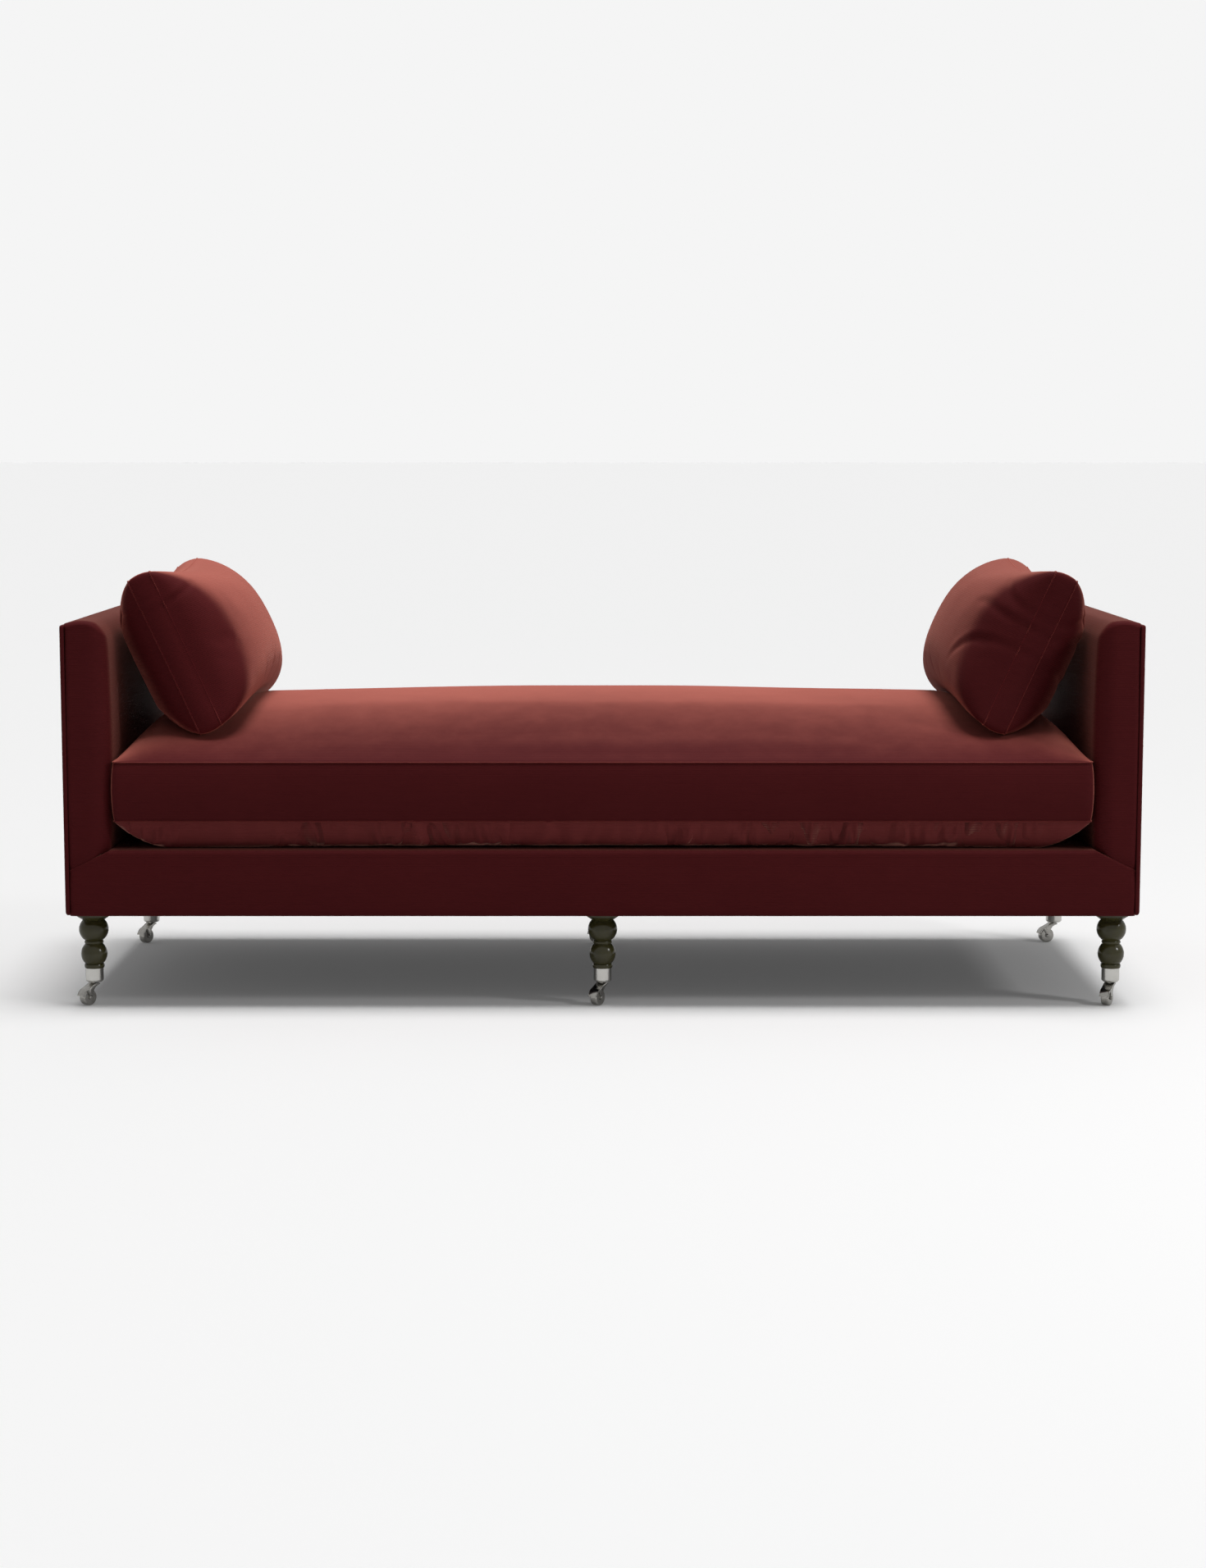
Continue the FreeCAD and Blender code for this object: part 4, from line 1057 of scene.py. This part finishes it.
# %% Timber and backing cloth
def timber(name, dark, light, run):
    """Plain timber whose grain runs along the axis where run is small."""
    wood = Recipe(name)
    rings = wood.cloud(46, 5, run, 0.65)
    pores = wood.cloud(420, 2, run)
    tone = wood.sum("MULTIPLY_ADD", pores, 0.35, wood.sum("MULTIPLY", rings, 0.8))
    return wood.finish(Base_Color=wood.between(tone, dark, light), Roughness=0.62,
                       Normal=wood.emboss(pores, 0.12 * MM))


def cloth_backing():
    felt = Recipe("black non-woven cloth")
    fibre = felt.cloud(700, 4)
    tone = felt.between(fibre, (0.010, 0.010, 0.011), (0.030, 0.030, 0.032))
    return felt.finish(Base_Color=tone, Roughness=0.9, Normal=felt.emboss(fibre, 0.15 * MM))


finishes = {
    "leg": gloss_paint(),
    "metal": plated[0],
    "worn metal": plated[1],
    "zinc": plated[2],
    "long timber": timber("timber along X", (0.36, 0.22, 0.11), (0.62, 0.44, 0.26), (0.06, 1, 1)),
    "deep timber": timber("timber along Y", (0.46, 0.31, 0.17), (0.72, 0.55, 0.34), (1, 0.06, 1)),
    "tall timber": timber("timber upright", (0.36, 0.22, 0.11), (0.62, 0.44, 0.26), (1, 1, 0.06)),
    "backing": cloth_backing(),
}
print(len(finishes), "hard finishes")


# %% Give each hard part its finish
def finish_for(node):
    if node.endswith("_leg"):
        return "leg"
    if "caster" in node:
        return "metal" if node.endswith("_cup") else "worn metal"
    if node in ("leg_plates", "leg_bolts", "cup_screws"):
        return "zinc"
    if node in ("slats", "cross_rail", "corner_blocks") or "end_rail" in node or "top_rail" in node:
        return "deep timber"
    if node.endswith("_post"):
        return "tall timber"
    if node == "dust_cover":
        return "backing"
    return "long timber"


for node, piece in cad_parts.items():
    piece.data.materials.clear()
    piece.data.materials.append(finishes[finish_for(node)])
print(len(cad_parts), "hard parts have a finish")

# %% [markdown]
# ## The castors' horns
# A furniture castor's horn is one casting: a stem goes up into the cup, and from it a hood sweeps
# back over the wheel with a narrow cheek down each side to the axle. We draw the cheek's outline
# once, round the wheel's centre, give it thickness on both sides, and bridge them with the hood.

# %% Outline of a cheek
SPOTS = ("front_left", "front_middle", "front_right", "rear_left", "rear_middle", "rear_right")
HOOD_OUT = 19.4 * MM
HOOD_IN = 17.2 * MM
HOOD_THICK = 2.0 * MM
BOSS_ROUND = 4.6 * MM
CHEEK_IN = 8.5 * MM
CHEEK_OUT = 10.3 * MM
CHEEK_STEM = [(-22.6, 24.8), (-22.2, 27.4), (-16.0, 28.2), (-9.0, 26.2), (-3.0, 22.8), (2.0, 20.2)]
CHEEK_BACK = [(-4.9, 6.0), (-6.6, 13.6), (-11.2, 20.0), (-17.5, 23.6)]


def on_circle(radius, degrees):
    return radius * math.cos(math.radians(degrees)), radius * math.sin(math.radians(degrees))


def horn_outline():
    """The hood's line, and the whole cheek's outline, round the wheel's centre."""
    hood = [(x * MM, z * MM) for x, z in CHEEK_STEM]
    hood += [on_circle(HOOD_OUT, turn) for turn in spread(76, 12, 9)]
    inner = [on_circle(HOOD_IN, turn) for turn in spread(12, 58, 6)]
    boss = [on_circle(BOSS_ROUND, turn) for turn in spread(50, -180, 12)]
    return hood, hood + inner + boss + [(x * MM, z * MM) for x, z in CHEEK_BACK]


print("a cheek's outline has", len(horn_outline()[1]), "points")

# %% Cast a horn
STEM_X = -18 * MM
STEM_SIDES = 24
STEM_TURNING = [(8.2, 24.8), (8.2, 26.2), (6.4, 26.6), (6.4, 28.4), (3.4, 29.2)]


def sleeve(casting, low, high):
    """Join two closed rings of points."""
    for index in range(len(low)):
        after = (index + 1) % len(low)
        casting.faces.new((low[index], low[after], high[after], high[index]))


def capped_rings(casting, rings):
    """Join rings one after the other, and close both ends."""
    casting.faces.new(rings[0])
    casting.faces.new(rings[-1])
    for low, high in zip(rings, rings[1:]):
        sleeve(casting, low, high)


def horn_mesh():
    """The horn round its wheel's centre: x points from the stem to the wheel, y along the axle."""
    hood, outline = horn_outline()
    casting = bmesh.new()
    for side in (-1, 1):
        capped_rings(casting, [[casting.verts.new((x, side * width, z)) for x, z in outline]
                               for width in (CHEEK_IN, CHEEK_OUT)])
    reach = CHEEK_OUT - 0.2 * MM
    belt = []
    for index, (x, z) in enumerate(hood):
        before, after = hood[max(index - 1, 0)], hood[min(index + 1, len(hood) - 1)]
        away = Vector((after[1] - before[1], 0, before[0] - after[0])).normalized() * HOOD_THICK
        belt.append([casting.verts.new((x + away.x * deep, flank * reach, z - abs(away.z) * deep))
                     for deep, flank in ((0, -1), (0, 1), (1, 1), (1, -1))])
    capped_rings(casting, belt)
    turns = spread(0, 2 * math.pi, STEM_SIDES + 1)[:-1]
    capped_rings(casting, [[casting.verts.new((STEM_X + radius * MM * math.cos(turn),
                                               radius * MM * math.sin(turn), z * MM)) for turn in turns]
                           for radius, z in STEM_TURNING])
    bmesh.ops.recalc_face_normals(casting, faces=casting.faces)
    mesh = bpy.data.meshes.new("horn")
    casting.to_mesh(mesh)
    casting.free()
    return mesh


print("the stem has", len(STEM_TURNING), "turned steps")


# %% Place the horns
def soften(piece):
    """Round the casting's edges a little, as plating does, and keep the mesh."""
    bevel = piece.modifiers.new("soft edges", "BEVEL")
    bevel.width = 0.5 * MM
    bevel.segments = 2
    bevel.limit_method = "ANGLE"
    bevel.angle_limit = math.radians(40)
    mesh = bpy.data.meshes.new_from_object(piece.evaluated_get(bpy.context.evaluated_depsgraph_get()))
    piece.modifiers.remove(bevel)
    piece.data = mesh
    mesh.polygons.foreach_set("use_smooth", [True] * len(mesh.polygons))
    mesh.set_sharp_from_angle(angle=math.radians(38))


def place_horn(spot):
    wheel_low, wheel_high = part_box(f"{spot}_caster_wheel")
    cup_low, cup_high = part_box(f"{spot}_caster_cup")
    centre = (Vector(wheel_low) + Vector(wheel_high)) / 2
    stem = (Vector(cup_low) + Vector(cup_high)) / 2
    back = Vector((centre.x - stem.x, centre.y - stem.y, 0)).normalized()
    across = Vector((0, 0, 1)).cross(back)
    turn = Matrix((back, across, Vector((0, 0, 1)))).transposed().to_4x4()
    horn = bpy.data.objects.new(f"{spot}_horn", horn_mesh())
    horn.data.transform(Matrix.Translation(centre) @ turn)
    bpy.context.scene.collection.objects.link(horn)
    soften(horn)
    horn.data.materials.append(finishes["worn metal"])
    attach(horn, f"{spot}_swivel")
    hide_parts(f"{spot}_caster_horn")
    return horn


for spot in SPOTS:
    horn = place_horn(spot)
print(len(SPOTS), "horns of", len(horn.data.polygons), "faces")

# %% [markdown]
# ## The deck
# Under the seat cushion lies a thin padded cloth, stitched in channels so that its filling stays
# in place. It shows only when the cushion is lifted off.

# %% Make the deck
CHANNEL = 0.12


def deck_height(x, y):
    swell = abs(math.sin(math.pi * (x + END_X) / CHANNEL)) ** 0.5
    edge = smooth_step(min(ARM_IN_X + 0.018 - abs(x), deck_high.y - abs(y)), 0, 0.02)
    return deck_high.z - 7 * MM + 6 * MM * swell * edge


deck_rows = [[(x, y, deck_height(x, y)) for x in spread(deck_low.x, deck_high.x, 401)]
             for y in spread(deck_low.y, deck_high.y, 41)]
deck = skin("deck_cloth", deck_rows, fixed_velvet, "frame")
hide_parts("deck_cover")
print("the deck has channels every", CHANNEL, "m")

# %% [markdown]
# ## The cloth underneath
# A thin black non-woven cloth closes the underside and keeps dust out. It is stapled along the
# rails, so it hangs almost flat, with a slight sag between its edges and cut-outs for the legs.

# %% Stretch the underside cloth
under_low, under_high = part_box("dust_cover")
CLOTH_CELL = 0.012
CLOTH_SAG = 1.6 * MM
PLATE_HALF = 31 * MM


def leg_centres():
    """Where the legs stand, on plan."""
    boxes = [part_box(f"{spot}_leg") for spot in SPOTS]
    return [((low.x + high.x) / 2, (low.y + high.y) / 2) for low, high in boxes]


def cut_out(point, centres):
    """Whether the cloth is cut away here, round a leg's plate and out to the edge."""
    return any(abs(point.x - x) < PLATE_HALF and abs(point.y) > abs(y) - PLATE_HALF and point.y * y > 0
               for x, y in centres)


def underside_cloth():
    centres = leg_centres()
    columns = round((under_high.x - under_low.x) / CLOTH_CELL)
    lines = round((under_high.y - under_low.y) / CLOTH_CELL)
    cloth = bmesh.new()
    grid = []
    for x in spread(under_low.x + 1 * MM, under_high.x - 1 * MM, columns + 1):
        line = []
        for y in spread(under_low.y + 1 * MM, under_high.y - 1 * MM, lines + 1):
            edge = min(under_high.x - abs(x), under_high.y - abs(y)) / 0.15
            pull = 0.5 * MM * noise.noise(Vector((x * 14, y * 14, 2)))
            sag = (CLOTH_SAG + pull) * smooth_step(edge, 0, 1)
            line.append(cloth.verts.new((x, y, under_low.z + 0.9 * MM - sag)))
        grid.append(line)
    for near, far in zip(grid, grid[1:]):
        for index in range(lines):
            corners = (near[index], near[index + 1], far[index + 1], far[index])
            middle = sum((corner.co for corner in corners), Vector()) / 4
            if not cut_out(middle, centres):
                cloth.faces.new(corners)
    loose = [vertex for vertex in cloth.verts if not vertex.link_faces]
    bmesh.ops.delete(cloth, geom=loose, context="VERTS")
    area = sum(face.calc_area() for face in cloth.faces)
    mesh = bpy.data.meshes.new("underside_cloth")
    cloth.to_mesh(mesh)
    cloth.free()
    return bpy.data.objects.new("underside_cloth", mesh), area


backing, backing_area = underside_cloth()
dress(backing, finishes["backing"], "frame")
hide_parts("dust_cover")
print("the underside cloth covers", round(backing_area, 2), "square metres")
